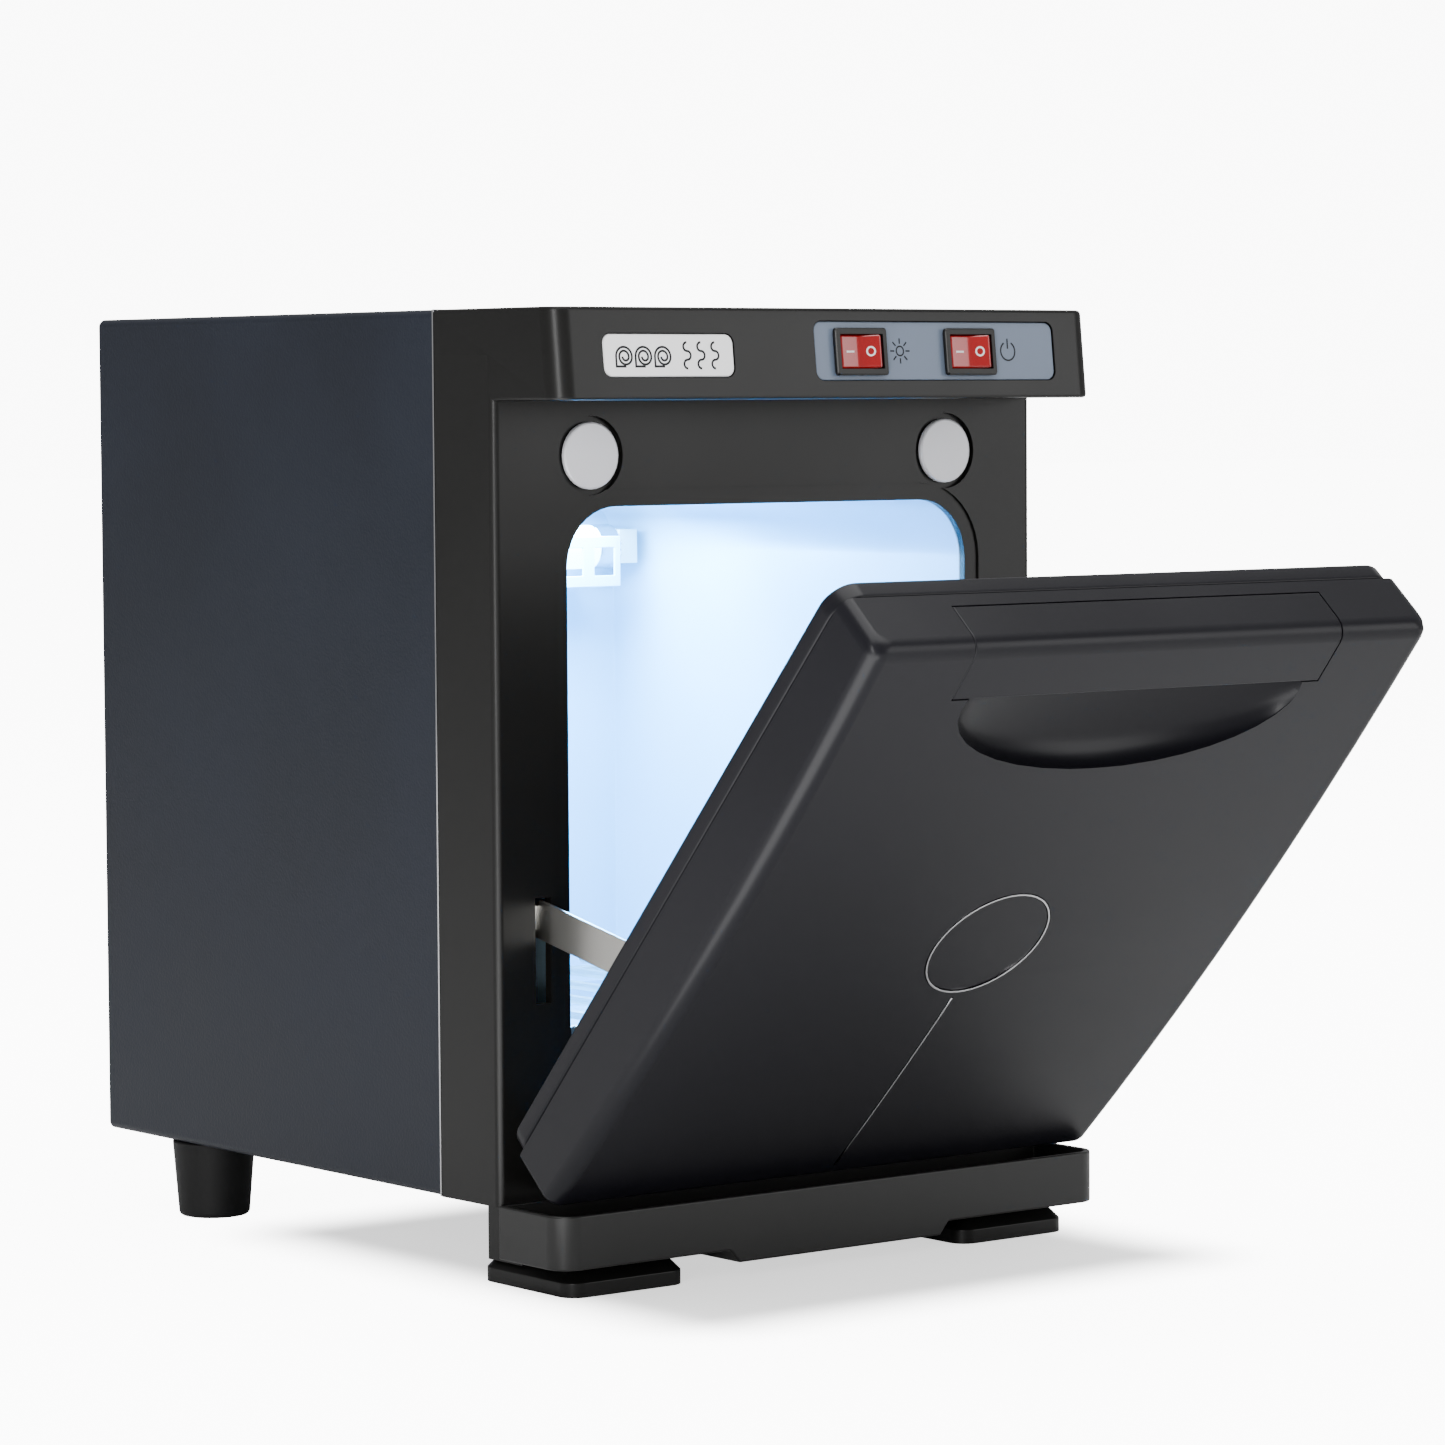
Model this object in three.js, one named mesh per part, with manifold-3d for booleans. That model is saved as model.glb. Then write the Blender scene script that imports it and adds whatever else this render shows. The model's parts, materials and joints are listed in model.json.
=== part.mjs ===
// Hot towel cabinet: a small countertop steriliser-warmer for salon towels.
//
// A folded steel shell carries a moulded front frame with a control hood. A drop-down door turns on two
// pins at its lower edge and is held open by two slotted steel stays. Behind it an aluminium chamber
// holds a wire rack, a water tray and a UV lamp. A drip tray slides out under the door.
//
// Millimetres, +Z up, the front faces -Y, left and right as seen from the front. The origin is on the
// ground under the centre of the bounding box, with the door resting open on its stays.
// Inside this file every piece is placed in the cabinet frame: x from the middle plane, y from the seam
// between shell and front frame, z from the underside of the shell.

import * as THREE from "three";
import { mergeVertices } from "three/addons/utils/BufferGeometryUtils.js";
import Module from "manifold-3d";

const wasm = await Module();
wasm.setup();

// ---------------------------------------------------------------------------------------------------
// Driving dimensions
// ---------------------------------------------------------------------------------------------------

const seatGap = 0.3; // between two pieces that bear on each other
const pinGap = 0.2; // radial, around a pin that turns
const doorGap = 0.8; // closed door to the frame's face
const doorFootGap = 3.3; // closed door's lower edge above the underside of the shell
const footHeight = 26; // ground to the underside of the shell

const shell = { width: 220, height: 277, depth: 200, sheet: 1.2, foldRadius: 2.5, flange: 12 };
const frame = { depth: 30, wall: 3, draft: 0.024, edgeRadius: 2.5 };
const hood = { height: 28.5, reachTop: 60, reachBottom: 63, cornerRadius: 7, edgeRound: 1.2 };
const opening = { width: 162, bottom: 36, headroom: 32.9, radius: 19, band: 5.5, bandDepth: 0.8 };
const chamber = { sheet: 1, fromBack: 35, flange: 4 };
const door = {
  topGap: 7.2, // closed door's upper edge below the hood
  panel: 6.4, // inner panel's thickness
  parting: 0.4, // open joint between inner panel and outer shell
  bottom: 27.4, // total thickness at the lower edge
  top: 28.2, // total thickness at the upper edge
  crown: 4.2, // bow of the front face at mid height
  sideRadius: 5,
  topRadius: 5,
  bottomRadius: 3.2,
  cornerRadius: 4,
  panelRadius: 9,
  panelEdge: 1.2,
  openAngle: THREE.MathUtils.degToRad(42),
};
const hinge = {
  inset: 3,
  rise: 3.2,
  pin: 1.25,
  fromSide: 23,
  lug: 6,
  lugTop: 2.4,
  noseGap: 0.6,
  pinLength: 18,
};
const strike = { inset: 9, below: 17, radius: 10.5, shy: 0.2, recess: 1.5, ring: 1.9, stem: 3 };
const magnet = { radius: 8.2, thickness: 4, shy: 0.2 };
const controlPlate = { fromSide: 18.2, width: 99.3, lift: 6, height: 18.5, radius: 3, thickness: 1, sink: 0.5 };
const namePlate = { fromSide: 19.8, width: 50.1, lift: 7.2, height: 13.2, radius: 3, thickness: 1, sink: 0.2 };
const rocker = {
  width: 21, // bezel, across
  height: 15, // bezel, up
  bezel: 1.8,
  frameSide: 1.8, // bezel beside the window
  frameEnd: 2, // bezel above and below the window
  bodyInset: 1,
  bodyDepth: 15,
  pivotDepth: 2, // pivot behind the bezel's seat
  clearance: 0.33, // window's side to the corners of the button as it swings
  swing: THREE.MathUtils.degToRad(18),
  side: 0.35, // gap above and below the button
  faceInset: 1.45, // window's side to the edge of the button's face
  vee: 1.3, // depth of the face's middle
  tail: 3, // half width of the button's flat back
  corner: 1,
};
const switchOffsets = { uv: 17.7, power: 63 }; // from the control plate's left edge
const switchLift = 14.9; // centre above the hood's lower edge
const cover = { halfWidth: 72.5, drop: 20, fromInside: 11.7, skin: 2.5 };
const scoop = { halfWidth: 67, below: 24, drop: 27, depth: 15, undercut: 14 };
const badge = { below: 125.5, radius: 21.4, width: 0.6, proud: 0.25, depth: 1 };
const inlay = { start: 6, gap: 2.8, width: 0.6, proud: 0.15, depth: 1 };
const foamPocket = { fromSide: 18, bottom: 16, belowTop: 58, depth: 13 };
const gasket = { inset: 3, width: 3.4, proud: 0.9, depth: 1.6 };
const stay = {
  outside: 10, // middle of the strip, outside the chamber's mouth
  thickness: 1.2,
  width: 12,
  v: 71, // pivot above the door's lower edge
  offset: 6.6, // pivot behind the door's inner face
  slope: THREE.MathUtils.degToRad(11.8), // with the door open
  hook: 6,
  hookHeight: 8,
  cornerCut: 2,
  rivet: 2,
  rivetHead: 3.3,
  headThickness: 0.6,
};
const staySlot = { inner: 2.2, outer: 3.8, above: 0.7, below: 6.3 }; // clear of the strip on each side
const bracket = { web: 1.2, gap: 0.6, foot: 9, height: 18, webHeight: 11, sink: 0.1, beyondPivot: 4.5 };
const dripTray = {
  reach: 63, // front face, forward of the seam
  top: 0.8,
  bottom: -16,
  lip: -20.2,
  lipHalfWidth: 41,
  lipSlant: 3.6,
  cornerRadius: 8,
  wall: 2,
};
const frontFoot = {
  fromSide: 8.5,
  width: 45.5,
  back: -8,
  front: -56,
  top: -16.5,
  chamfer: 5,
  radius: 6,
  riser: 18,
  riserInset: 0.5,
};
const rearFoot = { fromSide: 15, fromBack: 43, topRadius: 14, bottomRadius: 12, bore: 4, boreDepth: 17 };
const rack = {
  wire: 1.5,
  inset: 6,
  overhang: 2.5,
  height: 14,
  bars: 7,
  feetInset: 8,
  crossInset: 14,
  crossDrop: 1.8,
};
const waterTray = { behindFace: 10, fromBack: 25, height: 8, sheet: 1, cornerRadius: 6 };
const heater = { inset: 21, front: 5, fromBack: 20, thickness: 3 };
const thermostat = { x: 30, y: 60, radius: 8, height: 9, earSpan: 20, earWidth: 6, earThickness: 2 };
const fuse = { left: -40, right: -15, radius: 2.5, gap: 0.5 };
const baseMat = { inset: 6, fromBack: 5, bottom: 6, thickness: 10 };
const topMat = { inset: 1, front: -12, fromBack: 5, lift: 2, thickness: 10 };
const shelf = { fromSide: 10, front: 20, fromBack: 15, lift: 14, sheet: 1 };
const ballast = { x: -35, y: 90, width: 70, depth: 40, height: 26, earSpan: 90, earWidth: 16, earThickness: 2 };
const terminals = { x: 55, y: 91, width: 50, depth: 22, height: 12, ways: 4, pitch: 12, bore: 3, boreFloor: 5 };
const lamp = { radius: 7.75, length: 134, fromBack: 17, fromTop: 18.6, holder: { width: 8, half: 6 } };
const lampGuard = { gap: 6, sheet: 1, rise: 4, slots: 9, slotShare: 0.64, slotFloor: 4, slotBack: 8 };
const rearPanel = { inset: 3, sheet: 1.2, flange: 8, gap: 0.5 };
const vent = { width: 34, height: 3.2, pitch: 9, count: 6, x: 48, fromTop: 69, baseFront: 70 };
const gland = {
  fromSide: 32,
  z: 34,
  radius: 6,
  flange: 9,
  flangeThickness: 1.9,
  bore: 2.6,
  out: 6,
  inside: 5,
  taper: 0.6,
};

// Heights and planes that several pieces share
const faceY = -frame.depth;
const doorInnerY = faceY - doorGap;
const hingeY = doorInnerY - door.bottom + hinge.inset;
const hingeZ = doorFootGap + hinge.rise;
const hoodBottom = shell.height - hood.height;
const openingTop = hoodBottom - opening.headroom;
const doorHeight = hoodBottom - doorFootGap - door.topGap;
const hingeX = shell.width / 2 - hinge.fromSide;
const strikeProud = doorGap - strike.shy;
const strikeX = opening.width / 2 - strike.inset;
const strikeZ = hoodBottom - strike.below;
const stayX = opening.width / 2 + stay.outside;
const badgeHeight = doorHeight - badge.below;
const scoopHeight = doorHeight - scoop.below;
const switchHeight = hoodBottom + switchLift;
const windowWidth = rocker.width - 2 * rocker.frameSide;
const windowHeight = rocker.height - 2 * rocker.frameEnd;
const bodyWidth = rocker.width - 2 * rocker.bodyInset;
const bodyHeight = rocker.height - 2 * rocker.bodyInset;
const rockerReach = windowWidth / 2 - rocker.clearance; // pivot to the corners of the button
const controlSeat = seatOnHood(controlPlate, 1);
const nameSeat = seatOnHood(namePlate, -1);
const switchCentres = {
  uv: controlSeat.left + switchOffsets.uv,
  power: controlSeat.left + switchOffsets.power,
};
const chamberBack = shell.depth - chamber.fromBack;
const lampY = chamberBack - lamp.fromBack;
const lampZ = openingTop - lamp.fromTop;
const trayFront = faceY + waterTray.behindFace;
const trayBack = chamberBack - waterTray.fromBack;
const glandX = shell.width / 2 - gland.fromSide;
const trayHalfWidth = opening.width / 2 - opening.radius - seatGap; // the chamber's flat floor
const rearPlane = shell.depth - rearPanel.inset;
const pinDepth = door.bottom - hinge.inset; // pin's axis, outwards from the door's inner face

// A plate's values with its four edges on the hood, measured in from the hood's left or right side.
function seatOnHood(plate, side) {
  const near = shell.width / 2 - plate.fromSide;
  const [left, right] = side < 0 ? [-near, plate.width - near] : [near - plate.width, near];
  const bottom = hoodBottom + plate.lift;
  return { ...plate, left, right, bottom, top: bottom + plate.height };
}

// ---------------------------------------------------------------------------------------------------
// Finishes
// ---------------------------------------------------------------------------------------------------

const finish = (color, roughness, metalness) => () =>
  new THREE.MeshStandardMaterial({ color, roughness, metalness });

const paintedSteel = finish(0x33373f, 0.5, 0.3);
const blackPlastic = finish(0x1c1c1d, 0.4, 0);
const doorPlastic = finish(0x222226, 0.38, 0);
const greyPlate = finish(0x4c5866, 0.55, 0);
const satinSteel = finish(0xb4b0aa, 0.35, 1);
const brightMetal = finish(0xd6d6d8, 0.2, 1);
const strikeMetal = finish(0xc8c8cd, 0.45, 0.6);
const redLens = finish(0xb0161c, 0.2, 0);
const aluminium = finish(0xd5dbe2, 0.35, 0.9);
const zincSteel = finish(0x9aa0a6, 0.45, 0.9);
const mineralWool = finish(0xd9cfae, 0.95, 0);
const whiteCeramic = finish(0xe8e6e0, 0.6, 0);
const blackRubber = finish(0x151516, 0.85, 0);
const lampGlass = finish(0xcfe4ff, 0.1, 0);
const ferrite = finish(0x3a3a3c, 0.6, 0.3);

// ---------------------------------------------------------------------------------------------------
// Solid modelling helpers
// ---------------------------------------------------------------------------------------------------

const basis = (x, y, z) =>
  new THREE.Matrix4().makeBasis(new THREE.Vector3(...x), new THREE.Vector3(...y), new THREE.Vector3(...z));
// Drawn as seen from the front: drawing x, y and depth become x, z and -y.
const fromFront = basis([1, 0, 0], [0, 0, 1], [0, -1, 0]);
// Drawn in side view: drawing x, y and depth become y, z and x.
const fromSide = basis([0, 1, 0], [0, 0, 1], [1, 0, 0]);

// A closed geometry as a boolean solid.
function solid(geometry) {
  const bare = new THREE.BufferGeometry();
  bare.setAttribute("position", geometry.getAttribute("position").clone());
  if (geometry.index) bare.setIndex(geometry.index.clone());
  const merged = mergeVertices(bare, 1e-4);
  return new wasm.Manifold(
    new wasm.Mesh({
      numProp: 3,
      vertProperties: new Float32Array(merged.attributes.position.array),
      triVerts: new Uint32Array(merged.index.array),
    }),
  );
}

// A boolean solid as a flat-shaded geometry.
function geometryOf(shape) {
  const mesh = shape.getMesh();
  const geometry = new THREE.BufferGeometry();
  geometry.setAttribute("position", new THREE.BufferAttribute(new Float32Array(mesh.vertProperties), 3));
  geometry.setIndex(new THREE.BufferAttribute(new Uint32Array(mesh.triVerts), 1));
  const flat = geometry.toNonIndexed();
  flat.computeVertexNormals();
  return flat;
}

const cut = (body, ...tools) =>
  geometryOf(tools.reduce((left, tool) => left.subtract(solid(tool)), solid(body)));
const join = (first, ...others) =>
  geometryOf(others.reduce((sum, piece) => sum.add(solid(piece)), solid(first)));
const common = (a, b) => geometryOf(solid(a).intersect(solid(b)));

// A box between two corners.
function block([x0, x1], [y0, y1], [z0, z1]) {
  const box = new THREE.BoxGeometry(Math.abs(x1 - x0), Math.abs(y1 - y0), Math.abs(z1 - z0));
  return box.translate((x0 + x1) / 2, (y0 + y1) / 2, (z0 + z1) / 2);
}

// A straight-sided outline through points.
const polygon = (points) => new THREE.Shape(points.map(([x, y]) => new THREE.Vector2(x, y)));

// A rectangle with rounded corners, by its four sides.
function roundedRectangle(left, right, bottom, top, radius) {
  const outline = new THREE.Shape();
  outline.moveTo(left + radius, bottom);
  outline.absarc(right - radius, bottom + radius, radius, -Math.PI / 2, 0);
  outline.absarc(right - radius, top - radius, radius, 0, Math.PI / 2);
  outline.absarc(left + radius, top - radius, radius, Math.PI / 2, Math.PI);
  outline.absarc(left + radius, bottom + radius, radius, Math.PI, Math.PI * 1.5);
  return outline;
}

// An outline extruded from depth z0 to z1; edge rounds (or, with one segment, chamfers) both end edges.
function extrude(outline, z0, z1, { edge = 0, edgeSegments = 2, curveSegments = 5, steps = 1 } = {}) {
  return new THREE.ExtrudeGeometry(outline, {
    depth: z1 - z0 - 2 * edge,
    bevelEnabled: edge > 0,
    bevelThickness: edge,
    bevelSize: edge,
    bevelOffset: -edge,
    bevelSegments: edgeSegments,
    curveSegments,
    steps,
  }).translate(0, 0, z0 + edge);
}

// An outline drawn from the front, between two planes of y.
const plateFromFront = (outline, yFront, yBack, options) =>
  extrude(outline, -yBack, -yFront, options).applyMatrix4(fromFront);

// An outline drawn in side view (y, z), between two planes of x.
const barFromSide = (outline, x0, x1, options) => extrude(outline, x0, x1, options).applyMatrix4(fromSide);

// A round bar between two points.
function rod(from, to, radius, sides = 12) {
  const start = new THREE.Vector3(...from);
  const end = new THREE.Vector3(...to);
  const along = end.clone().sub(start);
  const bar = new THREE.CylinderGeometry(radius, radius, along.length(), sides);
  const turn = new THREE.Quaternion().setFromUnitVectors(new THREE.Vector3(0, 1, 0), along.clone().normalize());
  const middle = start.add(end).multiplyScalar(0.5);
  return bar.applyQuaternion(turn).translate(middle.x, middle.y, middle.z);
}

function piece(name, geometry, material) {
  const mesh = new THREE.Mesh(geometry, material());
  mesh.name = name;
  return mesh;
}

// The two ends of a length about its middle.
const about = (middle, length) => [middle - length / 2, middle + length / 2];

const sides = [
  ["left", -1],
  ["right", 1],
];

// ---------------------------------------------------------------------------------------------------
// Case: folded shell, base plate and vented rear panel
// ---------------------------------------------------------------------------------------------------

function makeOuterShell() {
  const { width, height, depth, sheet, foldRadius, flange } = shell;
  const half = width / 2;
  const front = seatGap;
  const wrap = plateFromFront(roundedRectangle(-half, half, 0, height, foldRadius), front, depth);
  const inside = plateFromFront(
    roundedRectangle(-half + sheet, half - sheet, sheet, height - sheet, foldRadius - sheet),
    front - 1,
    depth + 1,
  );
  const mouth = block([-half + flange, half - flange], [front - 1, depth + 1], [-1, sheet + 1]);
  return piece("outer_shell", cut(wrap, inside, mouth), paintedSteel);
}

function makeBasePlate() {
  const half = shell.width / 2 - shell.foldRadius - seatGap;
  const bottom = shell.sheet + seatGap;
  const back = rearPlane - rearPanel.sheet - seatGap;
  const plate = block([-half, half], [1, back], [bottom, bottom + shell.sheet]);
  const slots = [];
  for (let row = 0; row < vent.count; row++) {
    const y = vent.baseFront + row * vent.pitch;
    slots.push(block([-vent.width / 2, vent.width / 2], [y, y + vent.height], [0, 6]));
  }
  return piece("base_plate", cut(plate, ...slots), zincSteel);
}

function ventSlot(x, z) {
  const { width, height } = vent;
  const slot = roundedRectangle(x - width / 2, x + width / 2, z - height / 2, z + height / 2, height / 2 - 0.1);
  return plateFromFront(slot, rearPlane - 20, rearPlane + 10, { curveSegments: 2 });
}

// A shallow pan closing the back of the shell, its flanges turned forward.
function makeRearPanel() {
  const half = shell.width / 2 - shell.sheet - rearPanel.gap;
  const top = shell.height - shell.sheet - rearPanel.gap;
  const bottom = 2 * shell.sheet + 2 * seatGap + rearPanel.gap;
  const { sheet, flange } = rearPanel;
  const front = rearPlane - flange;
  const pan = block([-half, half], [front, rearPlane], [bottom, top]);
  const hollow = block(
    [-half + sheet, half - sheet],
    [front - 1, rearPlane - sheet],
    [bottom + sheet, top - sheet],
  );
  const rows = Array.from({ length: vent.count }, (_, row) => shell.height - vent.fromTop - row * vent.pitch);
  const slots = sides.flatMap(([, side]) => rows.map((z) => ventSlot(side * vent.x, z)));
  const glandHole = rod([glandX, front, gland.z], [glandX, rearPlane + 5, gland.z], gland.radius + seatGap, 20);
  return piece("rear_panel", cut(pan, hollow, ...slots, glandHole), paintedSteel);
}

function makeCordGland() {
  const { radius, flange, flangeThickness, bore, out, inside, taper } = gland;
  const inner = -(rearPanel.sheet + seatGap + inside);
  const bush = new THREE.LatheGeometry(
    [
      [bore, inner],
      [radius, inner],
      [radius, seatGap],
      [flange, seatGap],
      [flange, seatGap + flangeThickness],
      [radius - taper, out],
      [bore, out],
      [bore, inner],
    ].map(([r, y]) => new THREE.Vector2(r, y)),
    20,
  );
  return piece("cord_gland", bush.translate(glandX, rearPlane, gland.z), blackRubber);
}

// ---------------------------------------------------------------------------------------------------
// Front frame: face, hood, hinge lugs and the seats of everything it carries
// ---------------------------------------------------------------------------------------------------

// Half width of the moulding at a distance in front of the seam.
const frameHalfWidth = (reach) => shell.width / 2 - frame.draft * reach;

// Plan outline of the moulding, from the seam to its front.
function framePlan(reach, radius) {
  const half = frameHalfWidth(reach);
  const plan = new THREE.Shape();
  plan.moveTo(shell.width / 2, 0);
  plan.lineTo(-shell.width / 2, 0);
  plan.absarc(-half + radius, -reach + radius, radius, Math.PI, Math.PI * 1.5);
  plan.absarc(half - radius, -reach + radius, radius, -Math.PI / 2, 0);
  return plan;
}

// The hood's plan extruded upwards, its front leaned back towards the top.
function hoodBlock() {
  const body = extrude(framePlan(hood.reachBottom, hood.cornerRadius), hoodBottom, shell.height, {
    edge: hood.edgeRound,
  });
  const position = body.getAttribute("position");
  const lean = (hood.reachBottom - hood.reachTop) / hood.height;
  for (let i = 0; i < position.count; i++) {
    if (position.getY(i) > faceY - frame.wall) continue;
    position.setY(i, position.getY(i) + lean * (position.getZ(i) - hoodBottom));
  }
  return body;
}

// Angle by which the hood's front leans back.
const hoodLean = Math.atan2(hood.reachBottom - hood.reachTop, hood.height);

// Moves a drawing made on the hood's front (x, height above shell floor, depth outwards) onto it.
function ontoHood(geometry) {
  geometry.translate(0, -hoodBottom, 0).rotateX(Math.PI / 2 - hoodLean);
  return geometry.translate(0, -hood.reachBottom, hoodBottom);
}

function openingOutline(grow) {
  const half = opening.width / 2 + grow;
  return roundedRectangle(-half, half, opening.bottom - grow, openingTop + grow, opening.radius + grow);
}

// Nose of a hinge lug, drawn in side view about the pin.
function lugOutline() {
  const { rise, inset, lugTop } = hinge;
  const bottom = hingeZ - rise + hinge.noseGap;
  const nose = Math.min(rise, inset) - hinge.noseGap;
  const outline = new THREE.Shape();
  outline.moveTo(faceY + 1, bottom);
  outline.lineTo(faceY + 1, hingeZ + lugTop);
  outline.lineTo(hingeY + nose, hingeZ + lugTop);
  outline.absarc(hingeY, hingeZ, nose, Math.PI / 2, Math.PI * 1.5);
  return outline;
}

// Lower and upper end of the slot that a stay swings and slides through.
function staySlotEnds() {
  const open = stayPivot(door.openAngle);
  const atFace = open.z + (faceY + frame.wall - open.y) * Math.tan(stay.slope);
  const top = atFace + stay.width / 2 / Math.cos(stay.slope) + staySlot.above;
  return [stayPivot(0).z - stay.width / 2 - staySlot.below, top];
}

function makeFrontFrame() {
  const { wall } = frame;
  const inner = frameHalfWidth(frame.depth) - wall;
  const face = extrude(framePlan(frame.depth, frame.edgeRadius), 0, shell.height - hood.height / 2);
  const lugs = sides.map(([, side]) =>
    barFromSide(lugOutline(), side * hingeX - hinge.lug / 2, side * hingeX + hinge.lug / 2),
  );
  const body = join(face, hoodBlock(), ...lugs);
  const hollows = [
    block([-inner, inner], [faceY + wall, 5], [wall, shell.height - wall]),
    block([-inner, inner], [wall - hood.reachTop, 0], [hoodBottom + wall, shell.height - wall]),
  ];
  const mouths = [
    plateFromFront(openingOutline(0), faceY - 5, 5),
    plateFromFront(openingOutline(opening.band), faceY - 5, faceY + opening.bandDepth),
  ];
  const perSide = sides.flatMap(([, side]) => {
    const strikeAt = (y) => [side * strikeX, y, strikeZ];
    return [
      block([side * (stayX - staySlot.inner), side * (stayX + staySlot.outer)], [faceY - 5, 5], staySlotEnds()),
      rod(strikeAt(faceY - 1), strikeAt(faceY + strike.recess), strike.radius + strike.ring, 32),
      rod(strikeAt(faceY - 1), strikeAt(5), strike.stem + seatGap, 16),
      hingePinRod(side, pinGap),
    ];
  });
  return piece("front_frame", cut(body, ...hollows, ...mouths, ...perSide, ...hoodSeats()), blackPlastic);
}

// Recesses in the hood's front for the two plates, and the holes for the switches.
function hoodSeats() {
  const seat = (plate) => {
    const outline = roundedRectangle(
      plate.left - seatGap,
      plate.right + seatGap,
      plate.bottom - seatGap,
      plate.top + seatGap,
      plate.radius + seatGap,
    );
    return ontoHood(extrude(outline, -(plate.sink + plate.thickness + seatGap), 5));
  };
  const holes = Object.values(switchCentres).map((x) => ontoHood(switchHole(x, -12, 5)));
  return [seat(controlSeat), seat(nameSeat), ...holes];
}

// Rectangular cut-out for a switch body, through the control plate and the hood.
function switchHole(x, from, to) {
  return block(about(x, bodyWidth + 2 * seatGap), about(switchHeight, bodyHeight + 2 * seatGap), [from, to]);
}

// ---------------------------------------------------------------------------------------------------
// Control hood: plates and rocker switches
// ---------------------------------------------------------------------------------------------------

function makePlate(name, plate, material, holes = []) {
  const outline = roundedRectangle(plate.left, plate.right, plate.bottom, plate.top, plate.radius);
  const flat = extrude(outline, -(plate.sink + plate.thickness), -plate.sink);
  return piece(name, ontoHood(holes.length ? cut(flat, ...holes) : flat), material);
}

// Depth on the hood's front at which a switch bezel sits.
const bezelSeat = seatGap - controlPlate.sink;

function makeSwitchBody(name, x) {
  const { width, height, bezel, bodyDepth, corner } = rocker;
  const rim = extrude(
    roundedRectangle(...about(x, width), ...about(switchHeight, height), corner),
    bezelSeat,
    bezelSeat + bezel,
    { edge: 0.4, edgeSegments: 1, curveSegments: 2 },
  );
  const body = block(
    about(x, bodyWidth),
    about(switchHeight, bodyHeight),
    [bezelSeat - bodyDepth, bezelSeat + bezel / 2],
  );
  const floor = bezelSeat - rocker.pivotDepth - rockerReach - 2 * seatGap;
  const well = block(about(x, windowWidth), about(switchHeight, windowHeight), [floor, bezelSeat + bezel + 1]);
  return piece(name, ontoHood(cut(join(rim, body), well)), blackPlastic);
}

// Button drawn in plan about its pivot: a shallow vee on a round back, resting with one side pressed in.
function rockerOutline() {
  const { vee, tail } = rocker;
  const reach = rockerReach;
  const lip = windowWidth / 2 - rocker.faceInset;
  const start = Math.acos(lip / reach);
  const skirt = THREE.MathUtils.degToRad(20);
  const heel = -reach * 0.75;
  const outline = new THREE.Shape();
  outline.moveTo(0, reach * Math.sin(start) - vee);
  outline.lineTo(-lip, reach * Math.sin(start));
  outline.absarc(0, 0, reach, Math.PI - start, Math.PI + skirt);
  outline.lineTo(-tail, heel);
  outline.lineTo(tail, heel);
  outline.absarc(0, 0, reach, -skirt, start);
  return outline;
}

function makeRocker(name, x) {
  const half = windowHeight / 2 - rocker.side;
  const button = extrude(rockerOutline(), -half, half, { curveSegments: 4 });
  // Drawing x, y and depth become across, outwards and down the hood's front.
  button.applyMatrix4(basis([1, 0, 0], [0, 0, 1], [0, -1, 0]));
  button.rotateY(-rocker.swing / 2);
  button.translate(x, switchHeight, bezelSeat - rocker.pivotDepth);
  return piece(name, ontoHood(button), redLens);
}

function makeHoodPieces() {
  const holes = Object.values(switchCentres).map((x) => switchHole(x, -12, 5));
  const pieces = [
    makePlate("control_plate", controlSeat, greyPlate, holes),
    makePlate("nameplate", nameSeat, brightMetal),
  ];
  for (const [name, x] of Object.entries(switchCentres)) {
    pieces.push(makeSwitchBody(`switch_body_${name}`, x), makeRocker(`rocker_${name}`, x));
  }
  return pieces;
}

// ---------------------------------------------------------------------------------------------------
// Strike discs for the door's magnets
// ---------------------------------------------------------------------------------------------------

function makeStrike(name, side) {
  const { radius, recess, stem } = strike;
  const back = -(recess - seatGap);
  const disc = new THREE.LatheGeometry(
    [
      [0, back - frame.wall - 3],
      [stem, back - frame.wall - 3],
      [stem, back],
      [radius, back],
      [radius, strikeProud - 0.4],
      [radius - 0.4, strikeProud],
      [0, strikeProud],
    ].map(([r, y]) => new THREE.Vector2(r, y)),
    32,
  );
  disc.rotateX(Math.PI).translate(side * strikeX, faceY, strikeZ);
  return piece(name, disc, strikeMetal);
}

// ---------------------------------------------------------------------------------------------------
// Chamber: liner, heater, lamp, rack and tray
// ---------------------------------------------------------------------------------------------------

function makeChamberLiner() {
  const { sheet, flange } = chamber;
  const front = faceY + frame.wall + seatGap;
  const tub = plateFromFront(openingOutline(sheet), front, chamberBack);
  const rim = plateFromFront(openingOutline(flange), front, front + sheet);
  const hollow = plateFromFront(openingOutline(0), front - 1, chamberBack - sheet);
  return piece("chamber_liner", cut(join(tub, rim), hollow), aluminium);
}

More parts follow.
